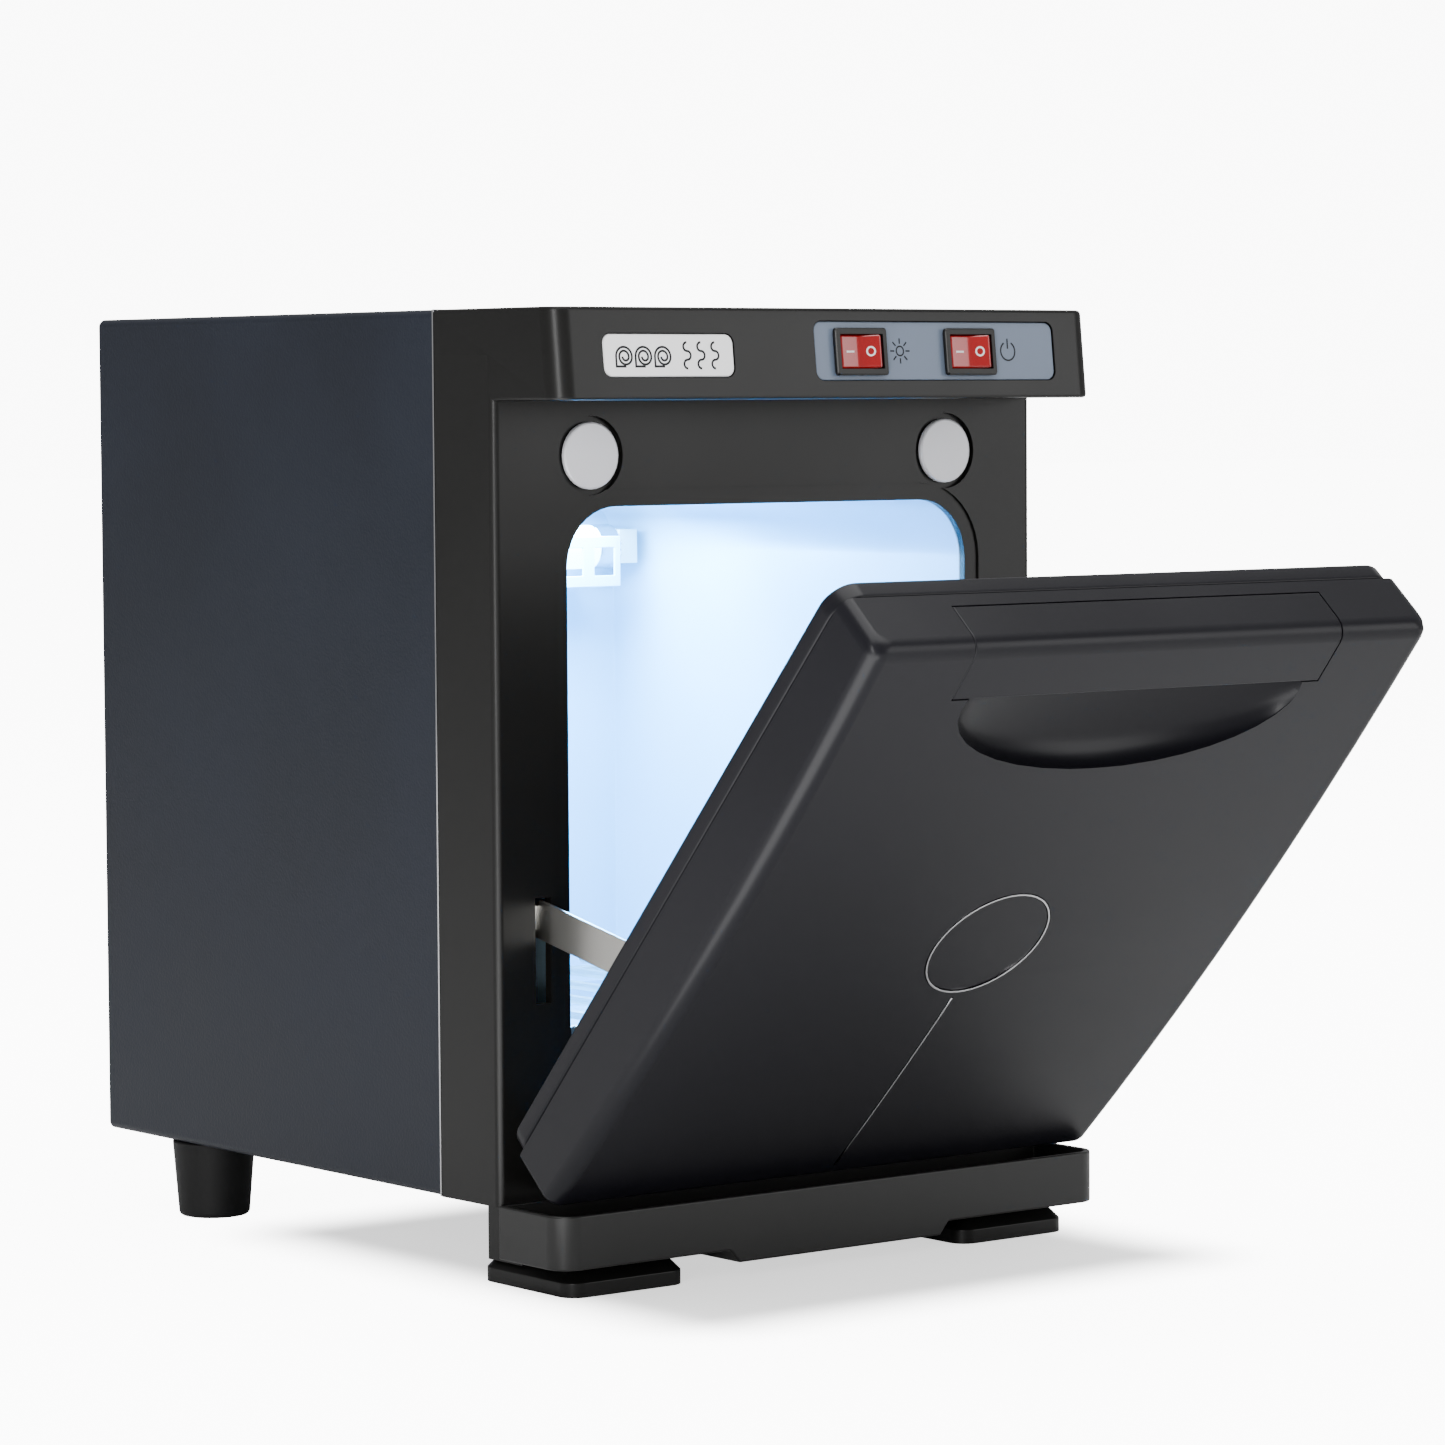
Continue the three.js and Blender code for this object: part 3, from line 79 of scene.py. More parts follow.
@dataclass(frozen=True)
class Finish:
    """A procedural surface: colour, gloss, relief and slow variation.

    Args:
        name: Material name.
        colour: Linear base colour.
        roughness: Middle roughness.
        metallic: Metallic value.
        grain: Kind of fine relief.
        grain_size: Size of one grain, in metres.
        relief: Strength of the relief, 0 to 1.
        tint: How far the colour drifts over the surface, 0 to 1.
        polish: How far the roughness drifts over the surface.
        coat: Clear coat weight.
        coat_roughness: Clear coat roughness.
        specular: Specular level.
        glow: Emission strength.
        glow_colour: Emission colour.
    """

    name: str
    colour: tuple[float, float, float]
    roughness: float
    metallic: float = 0.0
    grain: Grain = Grain.NONE
    grain_size: float = 0.0005
    relief: float = 0.1
    tint: float = 0.06
    polish: float = 0.06
    coat: float = 0.0
    coat_roughness: float = 0.2
    specular: float = 0.5
    glow: float = 0.0
    glow_colour: tuple[float, float, float] = (1.0, 1.0, 1.0)
    drift_scale: ClassVar[float] = 14.0
    drift_detail: ClassVar[float] = 3.0
    drift_span: ClassVar[tuple[float, float]] = (0.2, 0.8)
    grain_detail: ClassVar[float] = 2.0
    fibre_detail: ClassVar[float] = 5.0
    grain_depth: ClassVar[float] = 0.25  # of a grain's size
    brush_stretch: ClassVar[float] = 0.02

    def material(self) -> bpy.types.Material:
        """The finish's material, made the first time it is asked for.

        Returns:
            The node-based material.
        """
        found = bpy.data.materials.get(self.name)
        if found:
            return found
        material = bpy.data.materials.new(self.name)
        material.use_nodes = True
        tree = material.node_tree
        shader = tree.nodes["Principled BSDF"]
        shader.inputs["Metallic"].default_value = self.metallic
        shader.inputs["Coat Weight"].default_value = self.coat
        shader.inputs["Coat Roughness"].default_value = self.coat_roughness
        shader.inputs["Specular IOR Level"].default_value = self.specular
        shader.inputs["Emission Strength"].default_value = self.glow
        shader.inputs["Emission Color"].default_value = (*self.glow_colour, 1.0)
        place = tree.nodes.new("ShaderNodeTexCoord").outputs["Object"]
        drift = self._noise(tree, place, self.drift_scale, self.drift_detail)
        self._drift_colour(tree, drift, shader)
        self._drift_roughness(tree, drift, shader)
        if self.grain is not Grain.NONE:
            self._relief(tree, place, shader)
        return material

    @staticmethod
    def _noise(
        tree: bpy.types.NodeTree, place: bpy.types.NodeSocket, scale: float, detail: float
    ) -> bpy.types.NodeSocket:
        """A noise field over the object.

        Args:
            tree: Node tree to add to.
            place: Coordinates to read.
            scale: Waves per metre.
            detail: Octaves.

        Returns:
            The field's socket.
        """
        noise = tree.nodes.new("ShaderNodeTexNoise")
        noise.inputs["Scale"].default_value = scale
        noise.inputs["Detail"].default_value = detail
        tree.links.new(place, noise.inputs["Vector"])
        return noise.outputs["Fac"]

    def _drift_colour(
        self, tree: bpy.types.NodeTree, drift: bpy.types.NodeSocket, shader: bpy.types.Node
    ) -> None:
        """Lets the colour drift slowly between a darker and a lighter tone."""
        ramp = tree.nodes.new("ShaderNodeValToRGB")
        ramp.color_ramp.interpolation = "EASE"
        low, high = ramp.color_ramp.elements
        low.position, high.position = self.drift_span
        low.color = (*(c * (1 - self.tint) for c in self.colour), 1.0)
        high.color = (*(min(1.0, c * (1 + self.tint)) for c in self.colour), 1.0)
        tree.links.new(drift, ramp.inputs["Fac"])
        tree.links.new(ramp.outputs["Color"], shader.inputs["Base Color"])

    def _drift_roughness(
        self, tree: bpy.types.NodeTree, drift: bpy.types.NodeSocket, shader: bpy.types.Node
    ) -> None:
        """Lets the roughness drift slowly, as handling leaves it."""
        span = tree.nodes.new("ShaderNodeMapRange")
        span.interpolation_type = "SMOOTHSTEP"
        span.inputs["From Min"].default_value, span.inputs["From Max"].default_value = self.drift_span
        span.inputs["To Min"].default_value = self.roughness - self.polish / 2
        span.inputs["To Max"].default_value = self.roughness + self.polish / 2
        tree.links.new(drift, span.inputs["Value"])
        tree.links.new(span.outputs["Result"], shader.inputs["Roughness"])

    def _relief(
        self, tree: bpy.types.NodeTree, place: bpy.types.NodeSocket, shader: bpy.types.Node
    ) -> None:
        """Adds the fine relief as a bump."""
        stretch = {
            Grain.BRUSHED_X: (self.brush_stretch, 1.0, 1.0),
            Grain.BRUSHED_Y: (1.0, self.brush_stretch, 1.0),
        }.get(self.grain)
        if stretch:
            mapping = tree.nodes.new("ShaderNodeMapping")
            mapping.inputs["Scale"].default_value = stretch
            tree.links.new(place, mapping.inputs["Vector"])
            place = mapping.outputs["Vector"]
        detail = self.fibre_detail if self.grain is Grain.FIBRE else self.grain_detail
        height = self._noise(tree, place, 1.0 / self.grain_size, detail)
        bump = tree.nodes.new("ShaderNodeBump")
        bump.inputs["Strength"].default_value = self.relief
        bump.inputs["Distance"].default_value = self.grain_size * self.grain_depth
        tree.links.new(height, bump.inputs["Height"])
        tree.links.new(bump.outputs["Normal"], shader.inputs["Normal"])


PAINTED_STEEL = Finish(
    "powder_coated_steel", (0.0098, 0.0128, 0.0212), 0.42,
    grain=Grain.ORANGE_PEEL, grain_size=0.0009, relief=0.3, tint=0.14, specular=0.3,
)
BLACK_PLASTIC = Finish(
    "black_moulding", (0.0055, 0.0053, 0.005), 0.32,
    grain=Grain.FINE, grain_size=0.00035, relief=0.1, specular=0.32,
)
DOOR_PLASTIC = Finish(
    "door_moulding", (0.0068, 0.0067, 0.0092), 0.32,
    grain=Grain.FINE, grain_size=0.00035, relief=0.1, specular=0.24,
)
TRAY_PLASTIC = Finish(
    "tray_moulding", (0.0105, 0.0105, 0.0102), 0.33,
    grain=Grain.FINE, grain_size=0.00035, relief=0.1, specular=0.42,
)
GREY_PLATE = Finish(
    "switch_plate", (0.15, 0.19, 0.26), 0.36, grain=Grain.FINE, grain_size=0.0002, relief=0.08, specular=0.4
)
SATIN_STEEL = Finish(
    "satin_stainless", (0.62, 0.61, 0.58), 0.32, 1.0, grain=Grain.BRUSHED_Y, grain_size=0.0002, relief=0.14
)
BRIGHT_METAL = Finish("bright_trim", (0.7, 0.7, 0.72), 0.12, 1.0, tint=0.02, polish=0.04)
NAMEPLATE_METAL = Finish(
    "nameplate_metal", (0.93, 0.93, 0.94), 0.34, 0.35,
    grain=Grain.BRUSHED_X, grain_size=0.00015, relief=0.1,
)
STRIKE_METAL = Finish(
    "strike_disc", (0.8, 0.8, 0.84), 0.42, 0.3, grain=Grain.FINE, grain_size=0.0002, relief=0.06, tint=0.05
)
# Chamber aluminium: the brushed metal is real, and the blue in its colour is painted light from the UV lamp
ALUMINIUM_AND_PAINTED_LAMP_LIGHT = Finish(
    "chamber_sheet", (0.5, 0.74, 0.9), 0.34, 0.3,
    grain=Grain.BRUSHED_X, grain_size=0.0003, relief=0.08, tint=0.05,
)
ZINC = Finish(
    "zinc_plate", (0.35, 0.37, 0.4), 0.4, 1.0, grain=Grain.FINE, grain_size=0.0015, relief=0.05, tint=0.15
)
WOOL = Finish(
    "mineral_wool", (0.5, 0.44, 0.3), 0.95, grain=Grain.FIBRE, grain_size=0.0012, relief=0.8, tint=0.2
)
CERAMIC = Finish("glazed_ceramic", (0.6, 0.59, 0.56), 0.35, grain=Grain.FINE, grain_size=0.0004, relief=0.05)
RUBBER = Finish(
    "foot_rubber", (0.0065, 0.0065, 0.0068), 0.55,
    grain=Grain.FINE, grain_size=0.0005, relief=0.3, specular=0.3,
)
LAMP_GLASS = Finish("lit_lamp", (0.8, 0.9, 1.0), 0.1, glow=14.0, glow_colour=(0.36, 0.68, 1.0))
DARK_IRON = Finish(
    "dark_iron", (0.045, 0.045, 0.048), 0.5, 0.8, grain=Grain.FINE, grain_size=0.0006, relief=0.15
)
BLACK_INK = Finish("black_ink", (0.01, 0.01, 0.012), 0.5, tint=0.02, specular=0.3)
WHITE_INK = Finish("white_ink", (0.85, 0.85, 0.85), 0.5, tint=0.02)
SCREW_STEEL = Finish(
    "screw_steel", (0.25, 0.25, 0.26), 0.3, 1.0, grain=Grain.FINE, grain_size=0.0003, relief=0.05
)
LIT_LENS = Finish(
    "lit_red_lens", (0.26, 0.003, 0.005), 0.1,
    coat=0.8, coat_roughness=0.04, glow=0.12, glow_colour=(1.0, 0.02, 0.02), tint=0.25,
)
FLOOR = Finish("studio_floor", (0.8, 0.8, 0.8), 0.8, tint=0.02, specular=0.1)

NODE_FINISHES: dict[Finish, tuple[str, ...]] = {
    PAINTED_STEEL: ("outer_shell", "rear_panel"),
    BLACK_PLASTIC: (
        "front_frame", "switch_body_uv", "switch_body_power", "front_foot_left", "front_foot_right",
    ),
    TRAY_PLASTIC: ("drip_tray",),
    DOOR_PLASTIC: ("door_outer_shell", "door_inner_panel", "handle_cover"),
    GREY_PLATE: ("control_plate",),
    SATIN_STEEL: (
        "wire_rack", "hinge_pin_left", "hinge_pin_right", "stay_left", "stay_right", "stay_bracket_left",
        "stay_bracket_right", "stay_rivet_left", "stay_rivet_right",
    ),
    NAMEPLATE_METAL: ("nameplate",),
    BRIGHT_METAL: ("badge_ring", "door_inlay"),
    STRIKE_METAL: ("strike_left", "strike_right"),
    LIT_LENS: ("rocker_uv", "rocker_power"),
    ALUMINIUM_AND_PAINTED_LAMP_LIGHT: ("chamber_liner", "lamp_guard", "chamber_tray"),
    ZINC: ("base_plate", "heater_plate", "service_shelf"),
    WOOL: ("insulation_base", "insulation_top", "door_insulation"),
    CERAMIC: ("thermostat", "thermal_fuse", "lamp_holder_left", "lamp_holder_right", "terminal_block"),
    RUBBER: ("cord_gland", "rear_foot_left", "rear_foot_right", "door_gasket"),
    LAMP_GLASS: ("uv_lamp",),
    DARK_IRON: ("door_magnet_left", "door_magnet_right", "ballast"),
}


# --------------------------------------------------------------------------------------------------
# Building helpers
# --------------------------------------------------------------------------------------------------


def body_of_node(node: str) -> str:
    """Name of the body that a CAD node belongs to."""
    bodies = frame["record"]["behaviour"]["bodies"]
    return next(body for body, nodes in bodies.items() if node in nodes)


def finish_of_node(node: str) -> Finish:
    """Finish chosen for a CAD node."""
    return next(finish for finish, nodes in NODE_FINISHES.items() if node in nodes)


def joint(name: str) -> dict:
    """A joint of the frame, by name."""
    return next(one for one in frame["joints"] if one["name"] == name)


def box_centre(node: str) -> Vector:
    """Middle of a CAD node's box."""
    low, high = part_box(node)
    return (low + high) / 2


def piece_from(
    mesh: bmesh.types.BMesh, name: str, finish: Finish, body: str, smooth: bool = True
) -> bpy.types.Object:
    """Makes an object of a built mesh, dresses it and lets it ride.

    Args:
        mesh: The built mesh, in row coordinates; it is freed.
        name: Piece name.
        finish: Surface finish.
        body: Body to ride on.
        smooth: Whether its curved faces are shaded smooth.

    Returns:
        The finished piece.
    """
    data = bpy.data.meshes.new(name)
    mesh.to_mesh(data)
    mesh.free()
    piece = bpy.data.objects.new(name, data)
    bpy.context.scene.collection.objects.link(piece)
    data.materials.append(finish.material())
    if smooth:
        shade_by_angle(piece, SHARP_EDGE)
    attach(piece, body)
    LOG.info("piece %s: %d faces", name, len(data.polygons))
    return piece


def shade_by_angle(piece: bpy.types.Object, angle: float) -> None:
    """Shades a piece smooth, with its edges sharper than an angle kept sharp."""
    data = piece.data
    shape = bmesh.new()
    shape.from_mesh(data)
    for face in shape.faces:
        face.smooth = True
    for edge in shape.edges:
        edge.smooth = len(edge.link_faces) == 2 and edge.calc_face_angle(math.pi) < angle
    shape.to_mesh(data)
    shape.free()


@dataclass(frozen=True)
class Edging:
    """How a moulded or folded node's hard edges are eased.

    Args:
        width: Width of the eased edge, in metres.
        segments: Steps round it.
        limit: Only edges sharper than this angle are eased, in degrees.
    """

    width: float
    segments: int = 2
    limit: float = 40.0


def eased_copy(node: str, edging: Edging) -> bpy.types.Object:
    """A copy of a CAD node with eased edges, smooth curves and its own finish, standing for the node.

    Args:
        node: CAD node to stand for.
        edging: How its edges are eased.

    Returns:
        The finished piece.
    """
    shape = bmesh.new()
    shape.from_mesh(frame["nodes"][node].data)
    bmesh.ops.remove_doubles(shape, verts=shape.verts, dist=WELD)
    bmesh.ops.dissolve_limit(
        shape, angle_limit=FLAT, verts=shape.verts, edges=shape.edges, delimit={"NORMAL"}
    )
    piece = piece_from(shape, node + "_skin", finish_of_node(node), body_of_node(node))
    bevel = piece.modifiers.new("eased_edges", "BEVEL")
    bevel.width = edging.width
    bevel.segments = edging.segments
    bevel.limit_method = "ANGLE"
    bevel.angle_limit = math.radians(edging.limit)
    bevel.miter_outer = "MITER_ARC"
    bevel.use_clamp_overlap = True
    weighted = piece.modifiers.new("even_shading", "WEIGHTED_NORMAL")
    weighted.keep_sharp = True
    weighted.weight = 80
    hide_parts(node)
    return piece


def dress(node: str) -> None:
    """Gives a CAD node that stays as it is its own finish."""
    data = frame["nodes"][node].data
    data.materials[0] = finish_of_node(node).material()


# --------------------------------------------------------------------------------------------------
# Marks and fasteners
# --------------------------------------------------------------------------------------------------


@dataclass
class Sketch:
    """Raised ink marks drawn on a plane, collected in one mesh.

    Args:
        plane: Matrix from drawing to row coordinates; x and y lie in the plane, z stands out of it.
        width: Stroke width, in metres.
        height: How far the ink stands out, in metres.
    """

    plane: Matrix
    width: float
    height: float = 0.04 * MM
    shape: bmesh.types.BMesh = field(default_factory=bmesh.new)

    def bar(self, start: Sequence[float], end: Sequence[float]) -> None:
        """A straight stroke between two points of the drawing."""
        a, b = Vector((*start, 0.0)), Vector((*end, 0.0))
        along = b - a
        turn = Matrix.Rotation(math.atan2(along.y, along.x), 4, "Z")
        size = Matrix.Diagonal((along.length + self.width, self.width, self.height, 1.0))
        place = Matrix.Translation((a + b) / 2 + Vector((0, 0, self.height / 2)))
        bmesh.ops.create_cube(self.shape, size=1.0, matrix=place @ turn @ size)

    def arc(
        self, centre: Sequence[float], radius: float, start: float, sweep: float, steps: int = 24
    ) -> None:
        """A round stroke.

        Args:
            centre: Centre in the drawing.
            radius: Middle radius.
            start: Start angle in degrees, from drawing x.
            sweep: Angle turned, in degrees.
            steps: Steps round it.
        """
        middle = Vector((*centre, 0.0))
        inner, outer = radius - self.width / 2, radius + self.width / 2
        corners = [(inner, 0), (outer, 0), (outer, self.height), (inner, self.height)]
        turn = Matrix.Rotation(math.radians(start), 4, "Z")
        verts = [self.shape.verts.new(middle + turn @ Vector((r, 0, h))) for r, h in corners]
        section = self.shape.faces.new(verts)
        full = abs(sweep) >= 360
        bmesh.ops.spin(
            self.shape,
            geom=[section, *section.edges, *verts],
            cent=middle,
            axis=(0, 0, 1),
            angle=math.radians(sweep),
            steps=steps,
            use_merge=full,
        )
        if full:
            bmesh.ops.delete(self.shape, geom=[section], context="FACES_ONLY")

    def finish(self, name: str, finish: Finish, body: str, slot: str) -> bpy.types.Object:
        """Places the marks on their plane as one piece."""
        bmesh.ops.transform(self.shape, matrix=self.plane, verts=self.shape.verts)
        bmesh.ops.recalc_face_normals(self.shape, faces=self.shape.faces)
        return piece_from(self.shape, name, finish, body, smooth=False)


def plane_at(origin: Vector, across: Vector, up: Vector) -> Matrix:
    """Matrix whose x is across, y is up and z stands out of the plane."""
    out = across.cross(up).normalized()
    matrix = Matrix((across.normalized(), up.normalized(), out)).transposed().to_4x4()
    matrix.translation = origin
    return matrix


@dataclass(frozen=True)
class Screw:
    """Pan-head screw with a cross recess.

    Args:
        radius: Head radius.
        height: Head height.
        crown: Radius of the head's top, as a share of its radius.
        rounding: Rounding of the top's rim, as a share of the height.
        recess: Length of one recess arm from the centre.
        blade: Width of a recess arm.
        blade_share: Height of a recess arm, as a share of the height.
    """

    radius: float = 3.2 * MM
    height: float = 1.7 * MM
    crown: float = 0.7
    rounding: float = 0.4
    recess: float = 1.9 * MM
    blade: float = 0.7 * MM
    blade_share: float = 0.08

    def add_to(self, target: bmesh.types.BMesh, place: Matrix) -> None:
        """Adds one screw head standing on a plane.

        Args:
            target: Mesh that collects the screws.
            place: Plane's matrix at the screw.
        """
        lift = Matrix.Translation((0, 0, self.height / 2))
        made = bmesh.ops.create_cone(
            target, cap_ends=True, segments=24, radius1=self.radius, radius2=self.radius * self.crown,
            depth=self.height, matrix=place @ lift,
        )
        out = (place.to_3x3() @ Vector((0, 0, 1))).normalized()
        faces = {face for vert in made["verts"] for face in vert.link_faces}
        top = max(faces, key=lambda face: face.calc_center_median().dot(out))
        bmesh.ops.bevel(
            target, geom=list(top.edges), offset=self.height * self.rounding, affect="EDGES", segments=3,
            profile=0.5, material=-1,
        )
        lift = Matrix.Translation((0, 0, self.height))
        size = Matrix.Diagonal((self.recess * 2, self.blade, self.height * self.blade_share, 1.0))
        for turn in (0.0, math.pi / 2):
            arm = place @ lift @ Matrix.Rotation(turn, 4, "Z") @ size
            bmesh.ops.create_cube(target, size=1.0, matrix=arm)


# --------------------------------------------------------------------------------------------------
# Sub-assemblies
# --------------------------------------------------------------------------------------------------


@dataclass
class Case:
    """Folded shell, base plate, vented rear panel and feet."""

    sheet_edge: Edging = Edging(0.35 * MM, 2)
    foot_edge: Edging = Edging(0.8 * MM, 3)
    rubber_edge: Edging = Edging(0.6 * MM, 2)
    screw: Screw = Screw()
    screw_inset: float = 9.0 * MM
    label_width: float = 52.0 * MM
    label_height: float = 30.0 * MM
    label_corner: float = 1.5 * MM
    label_thickness: float = 0.15 * MM
    label_side: float = -45.0 * MM  # from the middle
    label_rise: float = 60.0 * MM  # above the panel's lower edge
    label_margin: float = 1.5 * MM
    label_line: float = 0.4 * MM
    label_rows: int = 4
    # Sizes of the bright strip that paints the highlight along the shell's front edge
    seam_inset: float = 0.1 * MM
    seam_width: float = 0.7 * MM
    seam_thickness: float = 0.4 * MM
    seam_round: float = 0.12 * MM

    def build(self) -> None:
        """Builds the case's pieces."""
        for node in ("outer_shell", "rear_panel", "base_plate"):
            eased_copy(node, self.sheet_edge)
        for node in ("front_foot_left", "front_foot_right"):
            eased_copy(node, self.foot_edge)
        for node in ("rear_foot_left", "rear_foot_right", "cord_gland"):
            eased_copy(node, self.rubber_edge)
        self.seam_highlight()
        self.rear_screws()
        self.rating_label()

    def seam_highlight(self) -> None:
        """Bright metal strip in the joint with the front frame: a painted highlight standing for the light along
        the folded sheet's front edge.
        """
        low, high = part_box("outer_shell")
        inset, depth = self.seam_inset, self.seam_width
        y = low.y + depth / 2
        shape = bmesh.new()
        for x in (low.x + inset, high.x - inset):
            size = Matrix.Diagonal((self.seam_thickness, depth, high.z - low.z - 2 * inset, 1.0))
            place = Matrix.Translation((x, y, (low.z + high.z) / 2))
            bmesh.ops.create_cube(shape, size=1.0, matrix=place @ size)
        size = Matrix.Diagonal((high.x - low.x - 2 * inset, depth, self.seam_thickness, 1.0))
        bmesh.ops.create_cube(shape, size=1.0, matrix=Matrix.Translation((0.0, y, high.z - inset)) @ size)
        bmesh.ops.bevel(
            shape, geom=shape.edges[:], offset=self.seam_round, affect="EDGES", segments=2,
            profile=0.5, material=-1,
        )
        # Its bright finish is a painted highlight along the shell's front edge
        piece_from(shape, "shell_front_seam", BRIGHT_METAL, "cabinet")

    def rear_plane(self, x: float, z: float) -> Matrix:
        """Plane on the rear panel's outer face at a place."""
        _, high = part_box("rear_panel")
        return plane_at(Vector((x, high.y, z)), Vector((-1, 0, 0)), Vector((0, 0, 1)))

    def rear_screws(self) -> None:
        """Screws round the rear panel's edge."""
        low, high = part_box("rear_panel")
        left, right = low.x + self.screw_inset, high.x - self.screw_inset
        bottom, top = low.z + self.screw_inset, high.z - self.screw_inset
        shape = bmesh.new()
        for x in (left, 0.0, right):
            for z in (bottom, top):
                self.screw.add_to(shape, self.rear_plane(x, z))
        for x in (left, right):
            self.screw.add_to(shape, self.rear_plane(x, (bottom + top) / 2))
        piece_from(shape, "rear_panel_screws", SCREW_STEEL, "cabinet")

    def rating_label(self) -> None:
        """Blank silver data label low on the rear panel, with its printed frame."""
        low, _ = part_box("rear_panel")
        plane = self.rear_plane(self.label_side, low.z + self.label_rise)
        shape = bmesh.new()
        size = Matrix.Diagonal((self.label_width, self.label_height, self.label_thickness, 1.0))
        middle = Matrix.Translation((0, 0, self.label_thickness / 2))
        bmesh.ops.create_cube(shape, size=1.0, matrix=plane @ middle @ size)
        upright = [
            edge for edge in shape.edges
            if abs((edge.verts[0].co - edge.verts[1].co).y) > self.label_thickness / 2
        ]
        bmesh.ops.bevel(
            shape, geom=upright, offset=self.label_corner, affect="EDGES", segments=4, profile=0.5,
            material=-1,
        )
        piece_from(shape, "rating_label", NAMEPLATE_METAL, "cabinet", smooth=False)
        marks = Sketch(plane @ Matrix.Translation((0, 0, self.label_thickness)), self.label_line)
        half_w, half_h = self.label_width / 2 - self.label_margin, self.label_height / 2 - self.label_margin
        corners = [(-half_w, -half_h), (half_w, -half_h), (half_w, half_h), (-half_w, half_h)]
        for start, end in zip(corners, corners[1:] + corners[:1]):
            marks.bar(start, end)
        row_height = 2 * half_h / self.label_rows
        for row in range(1, self.label_rows):
            height = half_h - row * row_height
            marks.bar((-half_w, height), (half_w, height))
        marks.bar((0.0, -half_h), (0.0, half_h - row_height))
        marks.finish("rating_label_grid", BLACK_INK, "cabinet", "black_plastic")


@dataclass
class ControlHood:
    """Moulded front frame with its plates, switches and marks."""

    setback: float = 3.0 * MM  # of the front's upper edge behind its lower edge
    rise: float = 28.5 * MM
    moulded_edge: Edging = Edging(0.5 * MM, 3)
    plate_edge: Edging = Edging(0.3 * MM, 2)
    nameplate_edge: Edging = Edging(0.35 * MM, 3)
    plate_thickness: float = 1.0 * MM
    ink_gap: float = 0.01 * MM
    mark_size: float = 3.0 * MM
    mark_gap: float = 6.5 * MM
    fine_stroke: float = 0.5 * MM
    stroke: float = 0.55 * MM
    rocker_ink: float = 0.06 * MM
    bold_stroke: float = 0.7 * MM
    roll_radius: float = 3.0 * MM
    roll_start: tuple[float, float] = (-17.0 * MM, -0.4 * MM)  # first roll, from the nameplate's middle
    roll_pitch: float = 7.4 * MM
    warmth_start: float = 7.0 * MM
    warmth_pitch: float = 5.4 * MM
    warmth_radius: float = 1.35 * MM
    vee_depth: float = 1.3 * MM
    lip_x: float = 7.25 * MM
    lip_reach: float = 8.37 * MM
    face_middle: float = 0.52  # of the lip's place, from the rocker's middle
    off_radius: float = 1.35 * MM
    on_half: float = 1.3 * MM
    rest_tilt: float = math.radians(-9)
    rocker_names: tuple[str, ...] = ("uv", "power")

    def build(self) -> None:
        """Builds the hood's pieces."""
        eased_copy("front_frame", self.moulded_edge)
        eased_copy("control_plate", self.plate_edge)
        eased_copy("nameplate", self.nameplate_edge)
        for name in self.rocker_names:
            eased_copy(f"switch_body_{name}", self.plate_edge)
            eased_copy(f"rocker_{name}", self.moulded_edge)
            self.rocker_marks(name)
        for name, _ in SIDES:
            eased_copy(f"strike_{name}", self.plate_edge)
        self.lamp_mark()
        self.power_mark()
        self.nameplate_mark()

    @property
    def lean(self) -> float:
        """Angle by which the hood's front leans back."""
        return math.atan2(self.setback, self.rise)

    @property
    def up(self) -> Vector:
        """Direction up the hood's front."""
        return Vector((0.0, math.sin(self.lean), math.cos(self.lean)))

    @property
    def out(self) -> Vector:
        """Direction out of the hood's front."""
        return Vector((0.0, -math.cos(self.lean), math.sin(self.lean)))

    def plate_plane(self, node: str, x: float) -> Matrix:
        """Plane on a plate's front face, at a place across the hood and at the plate's middle height."""
        centre = box_centre(node)
        origin = Vector((x, centre.y, centre.z)) + self.out * (self.plate_thickness / 2 + self.ink_gap)
        return plane_at(origin, Vector((1, 0, 0)), self.up)

    def mark_x(self, name: str) -> float:
        """Place of the mark beside a switch."""
        _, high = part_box(f"switch_body_{name}")
        return high.x + self.mark_gap

    def lamp_mark(self) -> None:
        """Lamp symbol beside the first switch: a ring with eight rays."""
        marks = Sketch(self.plate_plane("control_plate", self.mark_x("uv")), self.fine_stroke)
        marks.arc((0, 0), self.mark_size * 0.5, 0, 360)
        for ray in range(8):
            direction = Vector((math.cos(ray * math.pi / 4), math.sin(ray * math.pi / 4)))
            marks.bar(direction * self.mark_size * 0.85, direction * self.mark_size * 1.25)
        marks.finish("lamp_mark", BLACK_INK, "cabinet", "black_plastic")

    def power_mark(self) -> None:
        """Power symbol beside the second switch: a broken ring and a bar."""
        marks = Sketch(self.plate_plane("control_plate", self.mark_x("power")), self.stroke)
        marks.arc((0, 0), self.mark_size, 120, 300)
        marks.bar((0, self.mark_size * 0.35), (0, self.mark_size * 1.25))
        marks.finish("power_mark", BLACK_INK, "cabinet", "black_plastic")

    def nameplate_mark(self) -> None:
        """Rolled towels and rising warmth, printed on the nameplate."""
        marks = Sketch(self.plate_plane("nameplate", box_centre("nameplate").x), self.bold_stroke)
        x, y = self.roll_start
        for step in range(3):
            self.towel_end(marks, (x + step * self.roll_pitch, y), self.roll_radius)
        for step in range(3):
            x = self.warmth_start + step * self.warmth_pitch
            for turn in range(3):
                y = (turn - 1) * 2 * self.warmth_radius
                marks.arc((x, y), self.warmth_radius, -90 if turn % 2 else 90, 180, 12)
        marks.finish("nameplate_mark", BLACK_INK, "cabinet", "black_plastic")

